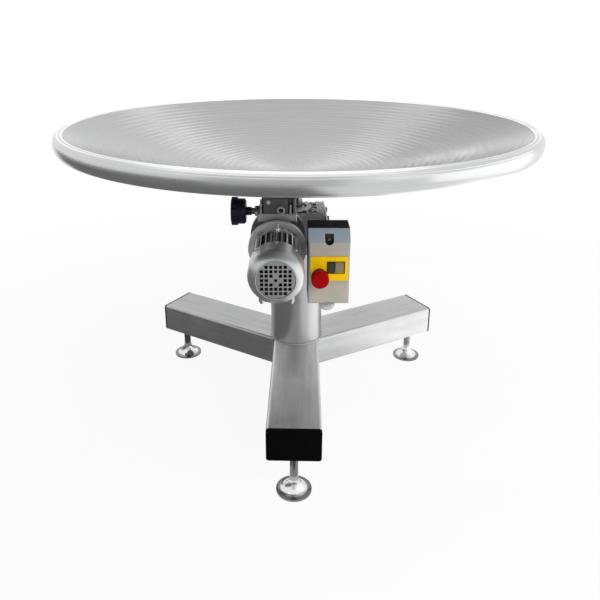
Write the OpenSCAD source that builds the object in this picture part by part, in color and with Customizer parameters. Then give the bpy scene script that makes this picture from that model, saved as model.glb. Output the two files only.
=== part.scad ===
// Rotary accumulation table: a dished turntable on a three-legged stand, driven by a motor,
// a variable-speed drive with a handwheel, and a worm gearbox, with a switch box beside the motor.
// Millimetres. Z is up, the origin is on the floor under the table's axis, and the motor points to -Y.

/* [Table] */
// Diameter over the rim
table_d = 1200; // [1000:10:1400]
// Height of the rim's top above the floor
table_h = 800; // [700:1:900]
// Depth of the bowl below the rim's top
dish_depth = 128; // [70:1:140]
// Thickness of the dish and rim sheet
sheet_t = 3; // [2:0.5:5]
// Width of the rolled rim
rim_w = 19; // [17:1:32]
// Height of the rolled rim
rim_h = 44; // [36:1:60]
// Radius of the rim's upper edge
rim_top_r = 9; // [6:0.5:12]
// Radius of the rim's lower edge
rim_low_r = 14; // [6:0.5:16]

/* [Table hub] */
// Diameter of the hub's plate under the dish
hub_plate_d = 170; // [150:1:220]
// Thickness of the hub's plate at its edge
hub_plate_t = 8; // [5:0.5:14]
// Diameter of the hub's boss
hub_boss_d = 60; // [50:1:76]
// Length of the hub's boss below its plate
hub_boss_len = 38; // [30:1:46]
// Number of webs between boss and plate
hub_webs = 6; // [3:1:8]
// Thickness of a web
hub_web_t = 6; // [4:0.5:10]
// Diameter of the circle of studs
hub_stud_pcd = 130; // [116:1:140]
// Thread size of the studs
hub_stud_d = 8; // [6:1:10]

/* [Shaft] */
// Diameter of the shaft above the gearbox
shaft_d = 30; // [28:1:36]
// Diameter of the shaft inside the gearbox
shaft_bore_d = 25; // [20:1:26]
// Width of the key
key_w = 8; // [6:1:8]
// Length of the key
key_len = 50; // [40:1:60]
// Depth of the key in the shaft
key_depth = 4; // [3:0.5:4]
// Thickness of the retaining washer
washer_t = 4; // [3:0.5:6]
// Thread size of the retaining bolt
shaft_bolt_d = 10; // [8:1:10]
// Length of the retaining bolt
shaft_bolt_len = 30; // [24:1:36]

/* [Legs] */
// Width of a leg tube
leg_w = 126; // [110:1:140]
// Height of a leg tube
leg_h = 83; // [72:1:96]
// Wall of a leg tube
leg_wall = 4; // [3:0.5:6]
// Corner radius of a leg tube
leg_corner_r = 7; // [6.5:0.5:10]
// Distance from the axis to the face of an end cap
leg_reach = 452; // [445:1:600]
// Height of the legs' underside above the floor
leg_clear = 106; // [95:1:120]
// Turn of the leg star about the column
base_turn = -1.4; // [-5:0.1:5]
// Thickness of an end cap's face
cap_t = 5; // [3:0.5:8]
// Depth of an end cap's plug
cap_plug = 8; // [6:1:9]
// Wall of an end cap's plug
cap_wall = 3; // [2:0.5:4]

/* [Column] */
// Outer diameter of the column
column_d = 144; // [130:1:146]
// Wall of the column
column_wall = 4; // [3:0.5:8]
// Diameter of the column's top plate
top_plate_d = 190; // [186:1:200]
// Thickness of the column's top plate
top_plate_t = 12; // [8:1:16]
// Diameter of the circle of column bolts
column_bolt_pcd = 166; // [166:1:168]
// Thread size of the column bolts
column_bolt_d = 10; // [8:1:10]

/* [Feet] */
// Distance from the axis to a foot
foot_reach = 419; // [400:1:421]
// Diameter of a foot's base
foot_d = 84; // [70:1:100]
// Height of a foot's flared base
foot_rise = 34; // [28:1:44]
// Thickness of the base's rim
foot_rim_t = 4; // [3:0.5:8]
// Diameter of a foot's stem
stem_d = 20; // [16:1:22]
// Length of the stem inside the leg
stem_inside = 34; // [28:1:44]
// Diameter of the threaded bush in a leg
bush_d = 36; // [32:1:42]
// Height of the threaded bush
bush_h = 22; // [14:1:24]
// Size of a lock nut across its flats
lock_nut_af = 32; // [32:1:36]
// Height of a lock nut
lock_nut_h = 10; // [8:1:14]

/* [Worm gear] */
// Distance from the bowl's lowest point down to the drive's axis
drive_drop = 146; // [136:1:156]
// Module of the worm wheel
gear_module = 2; // [1.8:0.1:2.1]
// Teeth of the worm wheel
wheel_teeth = 40; // [36:2:42]
// Pitch diameter of the worm
worm_d = 20; // [19:0.5:21]
// Face width of the worm wheel
wheel_face = 20; // [16:1:24]
// Length of the worm's thread
worm_len = 30; // [24:1:34]
// Play between the teeth
backlash = 0.5; // [0.4:0.1:0.8]
// Diameter of the wheel's hollow hub
wheel_hub_d = 40; // [38:1:42]
// Half the length of the wheel's hollow hub
wheel_hub_half = 46; // [44.5:0.5:50]

/* [Gearbox] */
// Room around the worm wheel
chamber_room = 5; // [4:0.5:8]
// Wall of the wheel's chamber
chamber_wall = 9; // [8:0.5:11]
// Half the height of the wheel's chamber
chamber_half = 34; // [32:0.5:36]
// Thickness of the top cover's plate
cover_plate_t = 8; // [6:0.5:10]
// Depth of the covers' spigots
spigot_h = 16; // [15.5:0.5:18]
// Diameter of the output bearings
output_bearing_d = 68; // [62:1:72]
// Width of the output bearings
output_bearing_w = 15; // [12:1:15]
// Outer diameter of the output seals
output_seal_d = 52; // [50:1:56]
// Width of the output seals
output_seal_w = 6; // [4:0.5:6]
// Outer radius of the worm's tunnel
tunnel_r = 28; // [26:0.5:30]
// Half the length of the worm's tunnel
tunnel_half = 62; // [60:1:66]
// Diameter of the worm bearings
worm_bearing_d = 40; // [36:1:42]
// Width of the worm bearings
worm_bearing_w = 12; // [10:1:14]
// Diameter of the worm shaft
worm_shaft_d = 17; // [15:1:18]
// Distance from the table's axis to the foot face
foot_face = 76; // [72:1:84]
// Length of the foot face along the worm
foot_len = 108; // [100:1:116]
// Thickness of the foot plate and its walls
foot_plate_t = 8; // [6:1:10]
// Number of ribs between the foot walls
rib_count = 5; // [3:1:7]
// Thickness of a rib
rib_t = 4; // [3:0.5:6]
// Thickness of the base flange
base_flange_t = 12; // [10:1:14]

/* [Drive flanges] */
// Diameter of the drive's flanges
flange_d = 140; // [136:1:141]
// Thickness of the drive's flanges
flange_t = 10; // [8:0.5:12]
// Diameter of the circle of flange bolts
flange_pcd = 115; // [115:1:118]
// Thread size of the flange bolts
flange_bolt_d = 8; // [6:1:8]
// Length of the gearbox's input neck
input_len = 34; // [30:1:40]
// Radius of the gearbox's input neck
input_neck_r = 34; // [30:0.5:38]

/* [Variable-speed drive] */
// Length of the housing
variator_len = 107; // [104:1:116]
// Radius of the barrel
barrel_r = 48; // [46:0.5:49]
// Wall of the barrel
barrel_wall = 6; // [5:0.5:6.5]
// Width of the saddle on top
saddle_w = 96; // [88:1:100]
// Height of the saddle above the axis
saddle_h = 60; // [58:1:62]
// Width of the control block
block_w = 84; // [76:1:88]
// Height of the control block above its lip
block_h = 37; // [34:1:44]
// Thickness of the control block's lip
lip_t = 18; // [14:0.5:18]
// Height of the control spindle above the axis
spindle_h = 77; // [76:0.5:80]
// Diameter of the control spindle
spindle_d = 10; // [8:0.5:12]
// Diameter of the spindle's boss
spindle_boss_d = 26; // [22:1:27]
// Diameter of the sight plug
sight_d = 20; // [18:1:24]
// Radius of the circle of planets
planet_circle_r = 27; // [26.5:0.5:27]
// Radius of a planet
planet_r = 8.5; // [7:0.5:8.5]
// Number of planets
planets = 5; // [3:1:5]

/* [Handwheel] */
// Diameter of the handwheel's rim
wheel_rim_d = 70; // [64:1:76]
// Width of the handwheel's rim
wheel_rim_w = 15; // [12:1:22]
// Diameter of the handwheel's drum
wheel_drum_d = 63; // [50:1:64]
// Width of the handwheel's drum
wheel_drum_w = 20; // [16:1:26]
// Diameter of the handwheel's neck
wheel_neck_d = 21; // [18:1:26]
// Length of the handwheel's neck
wheel_neck_len = 13; // [10:1:18]
// Length of bare spindle beside the boss
spindle_bare = 9; // [6:1:14]

/* [Motor] */
// Outer radius of the fins
fin_r = 60; // [58:0.5:61]
// Radius of the frame under the fins
frame_r = 52; // [50:0.5:54]
// Wall of the frame
frame_wall = 6; // [5:0.5:7]
// Length of the frame
frame_len = 94; // [90:1:110]
// Distance between fins
fin_pitch = 12; // [10:0.5:14]
// Thickness of a fin
fin_t = 3; // [2:0.5:4]
// Length of the front shield
shield_len = 33; // [31:1:40]
// Thickness of the rear shield
rear_shield_t = 12; // [12:0.5:14]
// Diameter of the motor's shaft
rotor_shaft_d = 15; // [13:1:16]
// Diameter of the rotor's core
rotor_d = 60; // [54:1:64]
// Air gap between rotor and stator
air_gap = 0.5; // [0.4:0.1:1]
// Diameter of the motor bearings
motor_bearing_d = 35; // [32:1:38]
// Width of the motor bearings
motor_bearing_w = 11; // [9:1:11]

/* [Fan cover] */
// Diameter of the fan cover
fan_cover_d = 124; // [123:1:130]
// Thickness of the fan cover
fan_cover_t = 1.5; // [1:0.25:2]
// Length of the fan cover past the frame
fan_cover_len = 75; // [70:1:90]
// Length of the fan cover's round shoulder
shoulder_len = 28; // [20:1:30]
// Diameter of the grille
grille_d = 84; // [78:1:94]
// Distance between grille holes
grille_pitch = 10; // [9.5:0.5:12]
// Side of a grille hole
grille_hole = 6.8; // [5.5:0.1:7.5]
// Diameter of the plain disc in the grille
grille_hub_d = 26; // [20:1:30]
// Radius of the bead around the grille
bead_r = 1.5; // [1:0.25:2]
// Number of fan blades
fan_blades = 8; // [6:1:10]

/* [Terminal box] */
// Width of the terminal box
terminal_w = 82; // [76:1:98]
// Length of the terminal box
terminal_len = 90; // [80:1:92]
// Height of the terminal box
terminal_h = 26; // [24:1:36]
// Wall of the terminal box
terminal_wall = 3.5; // [3:0.25:5]
// Thickness of the terminal box's lid
lid_t = 6; // [5:0.5:9]
// Height of the seat between frame and terminal box
terminal_seat = 4; // [3:0.5:8]

/* [Switch box] */
// Width of the switch box
box_w = 95; // [90:1:100]
// Height of the switch box
box_h = 177; // [170:1:188]
// Depth of the black base
box_base_d = 61; // [56:1:66]
// Depth of the cover
box_cover_d = 25; // [22:1:30]
// Wall of base and cover
box_wall = 3; // [2.5:0.25:4]
// Height of the slope at the cover's top
box_slope = 27; // [22:1:32]
// Radius of the cover's upright edges
cover_edge_r = 5; // [4.5:0.5:8]
// Distance from the drive's axis down to the box's floor
box_drop = 103; // [96:1:108]
// Distance from the table's axis to the box's near side
box_x = 22; // [21:1:30]
// Distance from the table's axis to the box's back
box_back = 214; // [214:1:222]
// Width of the yellow plate
plate_w = 85; // [80:1:86]
// Height of the yellow plate
plate_h = 58; // [54:1:62]
// Thickness of the yellow plate
plate_t = 2.5; // [1.5:0.25:3]
// Height of the plate's centre above the box's floor
plate_mid = 88; // [84:1:94]
// Diameter of the stop button
stop_d = 40; // [36:1:41]
// Travel of the stop button
stop_travel = 5; // [4:0.5:6]
// Width of the start button
start_w = 15; // [13:0.5:16]
// Height of the start button
start_h = 26; // [22:0.5:28]
// Travel of the start button
start_travel = 3; // [2:0.5:3]
// Diameter of the cable gland under the box
gland_d = 36; // [30:1:40]

/* [Bracket] */
// Thickness of the bracket
bracket_t = 4; // [3:0.5:6]
// Height of the bracket's arm
bracket_h = 66; // [60:1:70]
// Thread size of the bracket's bolts
bracket_bolt_d = 8; // [6:1:8]

/* [Fits] */
// Running clearance on the radius
running = 0.06; // [0.04:0.01:0.1]
// Play of a screw in its hole, on the diameter
hole_play = 0.4; // [0.3:0.1:1]
// Gap between faces that must not rub
face_gap = 0.3; // [0.3:0.1:0.6]

/* [Hidden] */
$fn = 96;
sink = 0.01;
steel = "#b9bcbf";
polished = "#d3d6d8";
aluminium = "#a9adb0";
cast_grey = "#5b5e61";
black = "#1d1d1f";
bronze = "#b58a45";
leg_turns = [0, 120, 240];

// Table
table_r = table_d / 2;
dish_edge_r = table_r - rim_w;
dish_sphere_r = (dish_edge_r * dish_edge_r + dish_depth * dish_depth) / (2 * dish_depth);
dish_centre_z = table_h - dish_depth + dish_sphere_r;
dish_under_r = dish_sphere_r + sheet_t;
function dish_underside(r) = dish_centre_z - sqrt(dish_under_r * dish_under_r - r * r);
hub_top_z = dish_underside(hub_plate_d / 2);
hub_plate_z = dish_underside(0) - hub_plate_t;
hub_low_z = hub_plate_z - hub_boss_len;
stud_low_z = hub_plate_z - 2 * hub_stud_d;
set_screw_z = hub_low_z + 10;
set_screw_turns = [30, 150];
drive_z = table_h - dish_depth - drive_drop;

// Gear pair
wheel_pitch_r = gear_module * wheel_teeth / 2;
wheel_tip_r = wheel_pitch_r + gear_module;
wheel_root_r = wheel_pitch_r - 1.2 * gear_module;
worm_r = worm_d / 2;
worm_tip_r = worm_r + gear_module;
worm_root_r = worm_r - 1.2 * gear_module;
worm_pitch = PI * gear_module;
pressure_angle = 20;
centre_distance = wheel_pitch_r + worm_r;
wheel_twist = wheel_face * gear_module / worm_d / wheel_pitch_r * 180 / PI;

// Gearbox
chamber_r = wheel_tip_r + chamber_room;
case_r = chamber_r + chamber_wall;
gear_top = chamber_half + cover_plate_t;
cover_screw_r = chamber_r + chamber_wall / 2;
cover_screws = 6;
cover_screw_d = 5;
cover_screw_len = cover_plate_t + 12;
plug_d = 10;
base_flange_top_z = drive_z - gear_top - 1;
base_flange_z = base_flange_top_z - base_flange_t;
top_plate_z = base_flange_z - top_plate_t;
column_z = leg_clear + leg_h;
bearing_gap = output_bearing_w + face_gap;
foot_low = chamber_half;
foot_high = gear_top;
foot_bolt_y = foot_len / 2 - 12;
foot_bolt_z = 24;
foot_span = foot_high + foot_low;

// Stations along the drive, forward from the table's axis
input_face = tunnel_half + input_len;
motor_face = input_face + variator_len;
frame_start = motor_face + shield_len;
frame_end = frame_start + frame_len;
rear_face = frame_end + rear_shield_t;
cover_front = frame_end + fan_cover_len;
plate_flat = input_face - flange_t - flange_bolt_d - 2;
flange_neck_r = flange_pcd / 2 - flange_bolt_d - 2.5;
core_start = frame_start + 12;
core_len = frame_len - 26;
worm_bearing_at = tunnel_half - worm_bearing_w;
carrier_at = input_face + 20;
carrier_t = 8;
planet_at = carrier_at + carrier_t + 8;
planet_len = 22;
planet_pin_r = 3;
ring_inner_r = planet_circle_r + planet_r + face_gap;
sun_r = planet_circle_r - planet_r - face_gap;
barrel_bore_r = barrel_r - barrel_wall;
cover_inner_r = fan_cover_d / 2 - fan_cover_t;
cover_flat_r = grille_d / 2 + 2 * bead_r + 0.5;
shoulder_w = fan_cover_d / 2 - cover_flat_r;
shoulder_r = (shoulder_w * shoulder_w + shoulder_len * shoulder_len) / (2 * shoulder_w);
cover_fixing_d = 4;
tie_screw_d = 5;

// Control block, in the drive's own axes
saddle_start = input_face + flange_t + 12;
saddle_len = variator_len - 2 * flange_t - 24;
block_left = -38;
block_low = saddle_h + lip_t;
block_start = saddle_start + 3;
block_len = saddle_len - 6;
spindle_at = saddle_start + saddle_len / 2;
sight_x = block_left + block_w * 0.56;
sight_y = spindle_h + 11;
block_screw_d = 6;
block_stud_d = 8;
block_stud_h = 22;
boss_len = 17;
boss_end = block_left - boss_len;
handwheel_at = boss_end - spindle_bare;
spindle_inside = 34;

// Terminal box
terminal_top = -frame_r - terminal_seat;
terminal_at = frame_end - 4 - terminal_len;
terminal_body_w = terminal_w - 6;
terminal_body_len = terminal_len - 6;
terminal_corner_r = 8;
lid_screw_d = 5;
lid_post_d = 14;
entry_d = 16;

// Switch box
box_z = drive_z - box_drop;
box_front = box_back + box_base_d + box_cover_d;
box_mid_x = box_x + box_w / 2;
plate_z = box_z + plate_mid;
plate_front = box_front + plate_t;
stop_x = box_mid_x - 22;
stop_z = plate_z - 14;
stop_collar_h = 4;
stop_collar_d = 30;
stop_stem_d = 16;
stop_hole_d = stop_collar_d - 6;
stop_gap = stop_travel + 1;
stop_head = 28;
start_x = box_mid_x - 3;
start_z = plate_z + 3;
start_proud = 4;
face_x = start_x + start_w + 2;
face_w = 20;
gland_y = box_back + box_base_d * 0.6;
gland_len = 23;
pocket_d = 20;
pocket_depth = 16;
pocket_y = box_h - 23;
box_screw_d = 4;
box_bolt_d = 5;
window_w = start_w + 2 + face_w;
button_depth = 14;
bracket_front = box_back - bracket_t;
bracket_x = foot_face;
bracket_z = drive_z - bracket_h / 2;
bracket_pad_x = box_x + 14;
bracket_pad_w = 42;

// Ring with its lower face at z = 0
module ring(outer_r, inner_r, h) {
    difference() {
        cylinder(r = outer_r, h = h);
        translate([0, 0, -1]) cylinder(r = inner_r, h = h + 2);
    }
}

// Six-sided prism by its size across the flats
module hexagon(across, h) {
    cylinder(d = across / cos(30), h = h, $fn = 6);
}

// Hexagon bolt: the head stands on z = 0 and the shank hangs below it
module hex_bolt(d, len) {
    hexagon(1.6 * d, 0.65 * d);
    translate([0, 0, -len]) cylinder(d = d, h = len + sink);
}

// Socket cap screw: the head stands on z = 0 and the shank hangs below it
module cap_screw(d, len) {
    difference() {
        cylinder(d = 1.7 * d, h = d);
        translate([0, 0, d / 2]) hexagon(0.8 * d, d);
    }
    translate([0, 0, -len]) cylinder(d = d, h = len + sink);
}

// Rectangle about the origin with round corners
module round_rect(w, h, r) {
    square([w - 2 * r, h], center = true);
    square([w, h - 2 * r], center = true);
    for (x = [-1, 1], y = [-1, 1]) translate([x * (w / 2 - r), y * (h / 2 - r)]) circle(r);
}

// Block with round corners along Z, on z = 0
module round_block(w, h, depth, r) {
    linear_extrude(depth) round_rect(w, h, r);
}

// Ball bearing: a ring with a shallow groove in each face
module bearing(outer_r, inner_r, w) {
    mid = (outer_r + inner_r) / 2;
    half = (outer_r - inner_r) / 5;
    groove = min(1, w / 8);
    difference() {
        ring(outer_r, inner_r, w);
        for (z = [-1, w - groove]) translate([0, 0, z]) ring(mid + half, mid - half, groove + 1);
    }
}

// The drive's own axes: Z forward along the motor, X to the right, Y up
module on_drive(along = 0) {
    translate([-centre_distance, 0, drive_z]) rotate([90, 0, 0]) translate([0, 0, along]) children();
}

// Four places on the drive's bolt circle
module at_flange_bolts() {
    for (a = [45:90:315]) rotate([0, 0, a]) translate([flange_pcd / 2, 0, 0]) children();
}

// Along the leg whose turn from the front is given, X outward from the axis
module on_leg(turn) {
    rotate([0, 0, -90 + base_turn + turn]) children();
}

// The switch box's own axes: X to the right, Y up from the box's floor, Z forward from its back
module on_box() {
    translate([box_mid_x, -box_back, box_z]) rotate([90, 0, 0]) children();
}

// Table

module dish() color(steel) {
    rotate_extrude($fn = 240) intersection() {
        translate([0, dish_centre_z]) difference() {
            circle(dish_under_r, $fn = 720);
            circle(dish_sphere_r, $fn = 720);
        }
        translate([0, table_h - 2 * dish_depth]) square([dish_edge_r, 2 * dish_depth]);
    }
}

// Cross-section of the rim, with the dish's edge at x = 0 and its top at y = 0
module rim_section(inset) {
    w = rim_w - inset;
    top_r = rim_top_r - inset;
    low_r = rim_low_r - inset;
    depth = rim_h - 2 * inset;
    translate([0, -inset]) {
        translate([0, -depth]) square([w - low_r, depth]);
        translate([0, -top_r]) square([w - top_r, top_r]);
        translate([0, low_r - depth]) square([w, depth - top_r - low_r]);
        translate([w - top_r, -top_r]) circle(top_r);
        translate([w - low_r, low_r - depth]) circle(low_r);
    }
}

module rim_ring() color(polished) {
    rotate_extrude($fn = 240) translate([dish_edge_r, table_h]) difference() {
        intersection() {
            rim_section(0);
            translate([0, -2 * rim_h]) square([2 * rim_w, 3 * rim_h]);
        }
        rim_section(sheet_t);
        translate([-1, -rim_h - 1]) square([rim_w - rim_low_r, rim_h + 1 - sheet_t]);
    }
}

module at_studs() {
    step = 360 / hub_webs;
    for (i = [0:hub_webs - 1]) rotate([0, 0, (i + 0.5) * step]) translate([hub_stud_pcd / 2, 0, 0])
        children();
}

module dish_hub() color(steel) {
    difference() {
        union() {
            rotate_extrude() difference() {
                union() {
                    translate([0, hub_plate_z]) square([hub_plate_d / 2, hub_top_z - hub_plate_z]);
                    translate([0, hub_low_z]) square([hub_boss_d / 2, hub_boss_len + sink]);
                }
                translate([0, dish_centre_z]) circle(dish_under_r, $fn = 720);
            }
            for (i = [0:hub_webs - 1]) rotate([0, 0, i * 360 / hub_webs]) hub_web();
        }
        translate([0, 0, hub_low_z - 1]) cylinder(d = shaft_d + 2 * running, h = hub_boss_len + 1);
        at_studs() translate([0, 0, stud_low_z]) cylinder(d = hub_stud_d + 1, h = 4 * hub_stud_d);
        for (a = set_screw_turns) rotate([0, 0, a]) translate([0, 0, set_screw_z]) rotate([0, 90, 0])
            cylinder(d = hub_stud_d + hole_play, h = hub_boss_d);
    }
}

// Triangular web from the boss to the plate's edge
module hub_web() {
    inner = hub_boss_d / 2 - 1;
    reach = hub_plate_d / 2 - 4;
    top = hub_plate_z + 1;
    translate([0, hub_web_t / 2, 0]) rotate([90, 0, 0]) linear_extrude(hub_web_t)
        polygon([[inner, hub_low_z + 18], [inner, top], [reach, top], [reach, hub_plate_z - 4]]);
}

module hub_fasteners() color(polished) {
    at_studs() {
        translate([0, 0, stud_low_z])
            cylinder(d = hub_stud_d, h = dish_underside(hub_stud_pcd / 2 - hub_stud_d / 2) - stud_low_z);
        translate([0, 0, hub_plate_z - 0.8 * hub_stud_d]) hexagon(1.6 * hub_stud_d, 0.8 * hub_stud_d);
    }
    for (a = set_screw_turns) rotate([0, 0, a]) translate([shaft_d / 2 + running, 0, set_screw_z])
        rotate([0, 90, 0]) cylinder(d = hub_stud_d, h = (hub_boss_d - shaft_d) / 2 - 1);
}

module table_shaft() color(polished) {
    bore_low = drive_z - wheel_hub_half + washer_t;
    shoulder_z = drive_z + wheel_hub_half;
    difference() {
        union() {
            translate([0, 0, bore_low]) cylinder(d = shaft_bore_d, h = shoulder_z - bore_low + sink);
            translate([0, 0, shoulder_z]) cylinder(d = shaft_d, h = hub_plate_z - shoulder_z);
        }
        translate([0, 0, bore_low - 1]) cylinder(d = shaft_bolt_d + hole_play, h = shaft_bolt_len + 1);
        translate([shaft_bore_d / 2 - key_depth, -key_w / 2, drive_z - key_len / 2])
            cube([2 * key_depth, key_w, key_len]);
    }
}

module shaft_retainer() color(polished) {
    hub_low = drive_z - wheel_hub_half;
    key_start = [shaft_bore_d / 2 - key_depth, -key_w / 2, drive_z - key_len / 2];
    translate([0, 0, hub_low - washer_t]) ring(wheel_hub_d / 2 - 2, (shaft_bolt_d + hole_play) / 2, washer_t);
    translate([0, 0, hub_low - washer_t]) mirror([0, 0, 1]) hex_bolt(shaft_bolt_d, shaft_bolt_len);
    translate(key_start + [sink, sink, sink])
        cube([key_depth + 3, key_w - 2 * sink, key_len - 2 * sink]);
}

// Gear pair

wheel_base_r = wheel_pitch_r * cos(pressure_angle);
function roll_angle(r) = acos(min(1, wheel_base_r / r));
function involute(r) = tan(roll_angle(r)) * 180 / PI - roll_angle(r);
flank_radii = [wheel_root_r, (wheel_root_r + wheel_pitch_r) / 2, wheel_pitch_r, wheel_tip_r];
function half_tooth(r) = 90 / wheel_teeth + involute(wheel_pitch_r) - involute(max(r, wheel_base_r));

// Outline of the wheel's teeth, with a gap facing the worm
module wheel_outline() {
    step = 360 / wheel_teeth;
    last = len(flank_radii) - 1;
    polygon([
        for (t = [0:wheel_teeth - 1], side = [-1, 1], i = [0:last])
            let (r = flank_radii[side < 0 ? i : last - i])
            let (a = (t + 0.5) * step + side * half_tooth(r) + 180)
            [r * cos(a), r * sin(a)]
    ]);
}

module worm_wheel() color(bronze) translate([0, 0, drive_z]) {
    collar_half = chamber_half - bearing_gap;
    bore_len = 2 * wheel_hub_half + 2;
    difference() {
        union() {
            translate([0, 0, -wheel_face / 2]) rotate([0, 0, -wheel_twist / 2])
                linear_extrude(wheel_face, twist = -wheel_twist, slices = 4, $fn = 16) wheel_outline();
            translate([0, 0, -wheel_hub_half]) cylinder(d = wheel_hub_d, h = 2 * wheel_hub_half);
            translate([0, 0, -collar_half]) cylinder(d = wheel_hub_d + 8, h = 2 * collar_half);
        }
        translate([0, 0, -bore_len / 2]) {
            cylinder(d = shaft_bore_d + 2 * running, h = bore_len);
            translate([0, -key_w / 2, 0]) cube([shaft_bore_d / 2 + 3 + face_gap, key_w, bore_len]);
        }
    }
}

// Cross-section of the single-start worm, with the thread's middle on +X
function thread_half(r) = (worm_pitch / 2 - backlash) / 2 - (r - worm_r) * tan(pressure_angle);
function thread_angle(r) = thread_half(r) / worm_pitch * 360;
module worm_outline() {
    rise = [for (k = [0:4]) worm_root_r + (worm_tip_r - worm_root_r) * k / 4];
    rest = thread_angle(worm_root_r);
    polygon(concat(
        [for (k = [0:4]) let (r = rise[k], a = -thread_angle(r)) [r * cos(a), r * sin(a)]],
        [[worm_tip_r, 0]],
        [for (k = [4:-1:0]) let (r = rise[k], a = thread_angle(r)) [r * cos(a), r * sin(a)]],
        [for (k = [1:5]) let (a = rest + (360 - 2 * rest) * k / 6) worm_root_r * [cos(a), sin(a)]]
    ));
}

module worm_shaft() color(polished) on_drive() {
    turns = worm_len / worm_pitch;
    collar_w = 8;
    rotate([0, 0, -turns * 180]) translate([0, 0, -worm_len / 2])
        linear_extrude(worm_len, twist = -turns * 360, slices = ceil(turns * 18), $fn = 16) worm_outline();
    translate([0, 0, -tunnel_half]) cylinder(d = worm_shaft_d, h = tunnel_half - worm_len / 2 + sink);
    translate([0, 0, worm_len / 2 - sink])
        cylinder(d = worm_shaft_d, h = carrier_at + carrier_t - worm_len / 2);
    for (z = [-worm_bearing_at + face_gap, worm_bearing_at - collar_w - face_gap]) translate([0, 0, z])
        cylinder(d = worm_shaft_d + 7, h = collar_w);
}

module worm_bearings() color(polished) on_drive() {
    for (z = [-tunnel_half, worm_bearing_at]) translate([0, 0, z])
        bearing(worm_bearing_d / 2, worm_shaft_d / 2 + running, worm_bearing_w);
}

// Gearbox

module gearbox_housing() color(aluminium) {
    difference() {
        union() {
            translate([0, 0, drive_z - chamber_half]) cylinder(r = case_r, h = 2 * chamber_half);
            on_drive(-tunnel_half) cylinder(r = tunnel_r, h = 2 * tunnel_half);
            translate([-centre_distance, -case_r + 8, drive_z - tunnel_r + 2])
                cube([centre_distance, 2 * case_r - 16, 2 * tunnel_r - 4]);
            foot_frame();
        }
        translate([0, 0, drive_z - chamber_half - 1]) cylinder(r = chamber_r, h = 2 * chamber_half + 2);
        on_drive(-tunnel_half - 1) cylinder(r = worm_tip_r + chamber_room, h = 2 * tunnel_half + 2);
        for (z = [-tunnel_half - 1, worm_bearing_at]) on_drive(z)
            cylinder(d = worm_bearing_d, h = worm_bearing_w + 1);
        at_cover_screws() for (z = [drive_z + chamber_half - 14, drive_z - chamber_half - 1])
            translate([0, 0, z]) cylinder(d = cover_screw_d + hole_play, h = 15);
        at_foot_bolts() translate([-20, 0, 0]) rotate([0, 90, 0])
            cylinder(d = bracket_bolt_d + hole_play, h = 21);
        for (y = [-1, 1]) translate([foot_face / 2, y * foot_len / 2, drive_z + foot_high - 9])
            rotate([y * 90, 0, 0]) translate([0, 0, -foot_plate_t - 1]) cylinder(d = 8, h = foot_plate_t + 2);
        at_gearbox_plugs() translate([0, 0, -14]) cylinder(d = plug_d + hole_play, h = 20);
    }
}

// Foot plate with its walls and ribs, cut clear of the two covers
module foot_frame() {
    rib_step = foot_len / (rib_count + 1);
    difference() {
        translate([0, 0, drive_z - foot_low]) {
            translate([foot_face - foot_plate_t, -foot_len / 2, 0])
                cube([foot_plate_t, foot_len, foot_span]);
            for (y = [-foot_len / 2, foot_len / 2 - foot_plate_t]) translate([0, y, 0])
                cube([foot_face - 1, foot_plate_t, foot_span]);
            for (i = [1:rib_count]) translate([0, -foot_len / 2 + i * rib_step - rib_t / 2, 0])
                cube([foot_face - 1, rib_t, foot_span]);
        }
        translate([0, 0, drive_z + chamber_half]) cylinder(r = case_r + 1, h = foot_high);
    }
}

module at_cover_screws() {
    step = 360 / cover_screws;
    for (i = [0:cover_screws - 1]) rotate([0, 0, (i + 0.5) * step]) translate([cover_screw_r, 0, 0])
        children();
}

module at_foot_bolts() {
    for (y = [-1, 1], z = [-1, 1]) translate([foot_face, y * foot_bolt_y, drive_z + z * foot_bolt_z])
        children();
}

module at_gearbox_plugs() {
    for (y = [-1, 1]) translate([-centre_distance, y * (tunnel_half - 14), drive_z + tunnel_r]) children();
}

// Spigot with the bearing's seat, below z = 0
module bearing_spigot() {
    translate([0, 0, -spigot_h]) ring(chamber_r - running, output_bearing_d / 2, spigot_h + sink);
}

module gearbox_top_cover() color(aluminium) {
    translate([0, 0, drive_z + chamber_half]) {
        bearing_spigot();
        difference() {
            cylinder(r = case_r, h = cover_plate_t);
            translate([0, 0, -1]) cylinder(d = wheel_hub_d + 4, h = cover_plate_t + 2);
            translate([0, 0, cover_plate_t - output_seal_w])
                cylinder(d = output_seal_d, h = output_seal_w + 1);
            at_cover_screws() translate([0, 0, -1])
                cylinder(d = cover_screw_d + hole_play, h = cover_plate_t + 2);
        }
    }
}

// Round plate with a flat that clears the drive's flange
module flange_plate(t) {
    linear_extrude(t) difference() {
        circle(d = top_plate_d);
        translate([-top_plate_d, -plate_flat - top_plate_d]) square([2 * top_plate_d, top_plate_d]);
    }
}

module gearbox_base_flange() color(aluminium) {
    neck_h = drive_z - chamber_half - base_flange_z;
    seat_h = neck_h - cover_plate_t;
    translate([0, 0, base_flange_z]) difference() {
        union() {
            flange_plate(base_flange_t);
            cylinder(r = case_r, h = neck_h);
            translate([0, 0, neck_h]) mirror([0, 0, 1]) bearing_spigot();
        }
        translate([0, 0, -1]) {
            cylinder(d = wheel_hub_d + 4, h = neck_h + 2);
            cylinder(d = output_seal_d, h = seat_h + output_seal_w + 1);
            at_column_bolts() cylinder(d = column_bolt_d + 1, h = base_flange_t + 2);
            at_cover_screws() {
                cylinder(d = cover_screw_d + hole_play, h = neck_h + 2);
                cylinder(d = 2 * cover_screw_d, h = seat_h + 1);
            }
        }
    }
}

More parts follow.
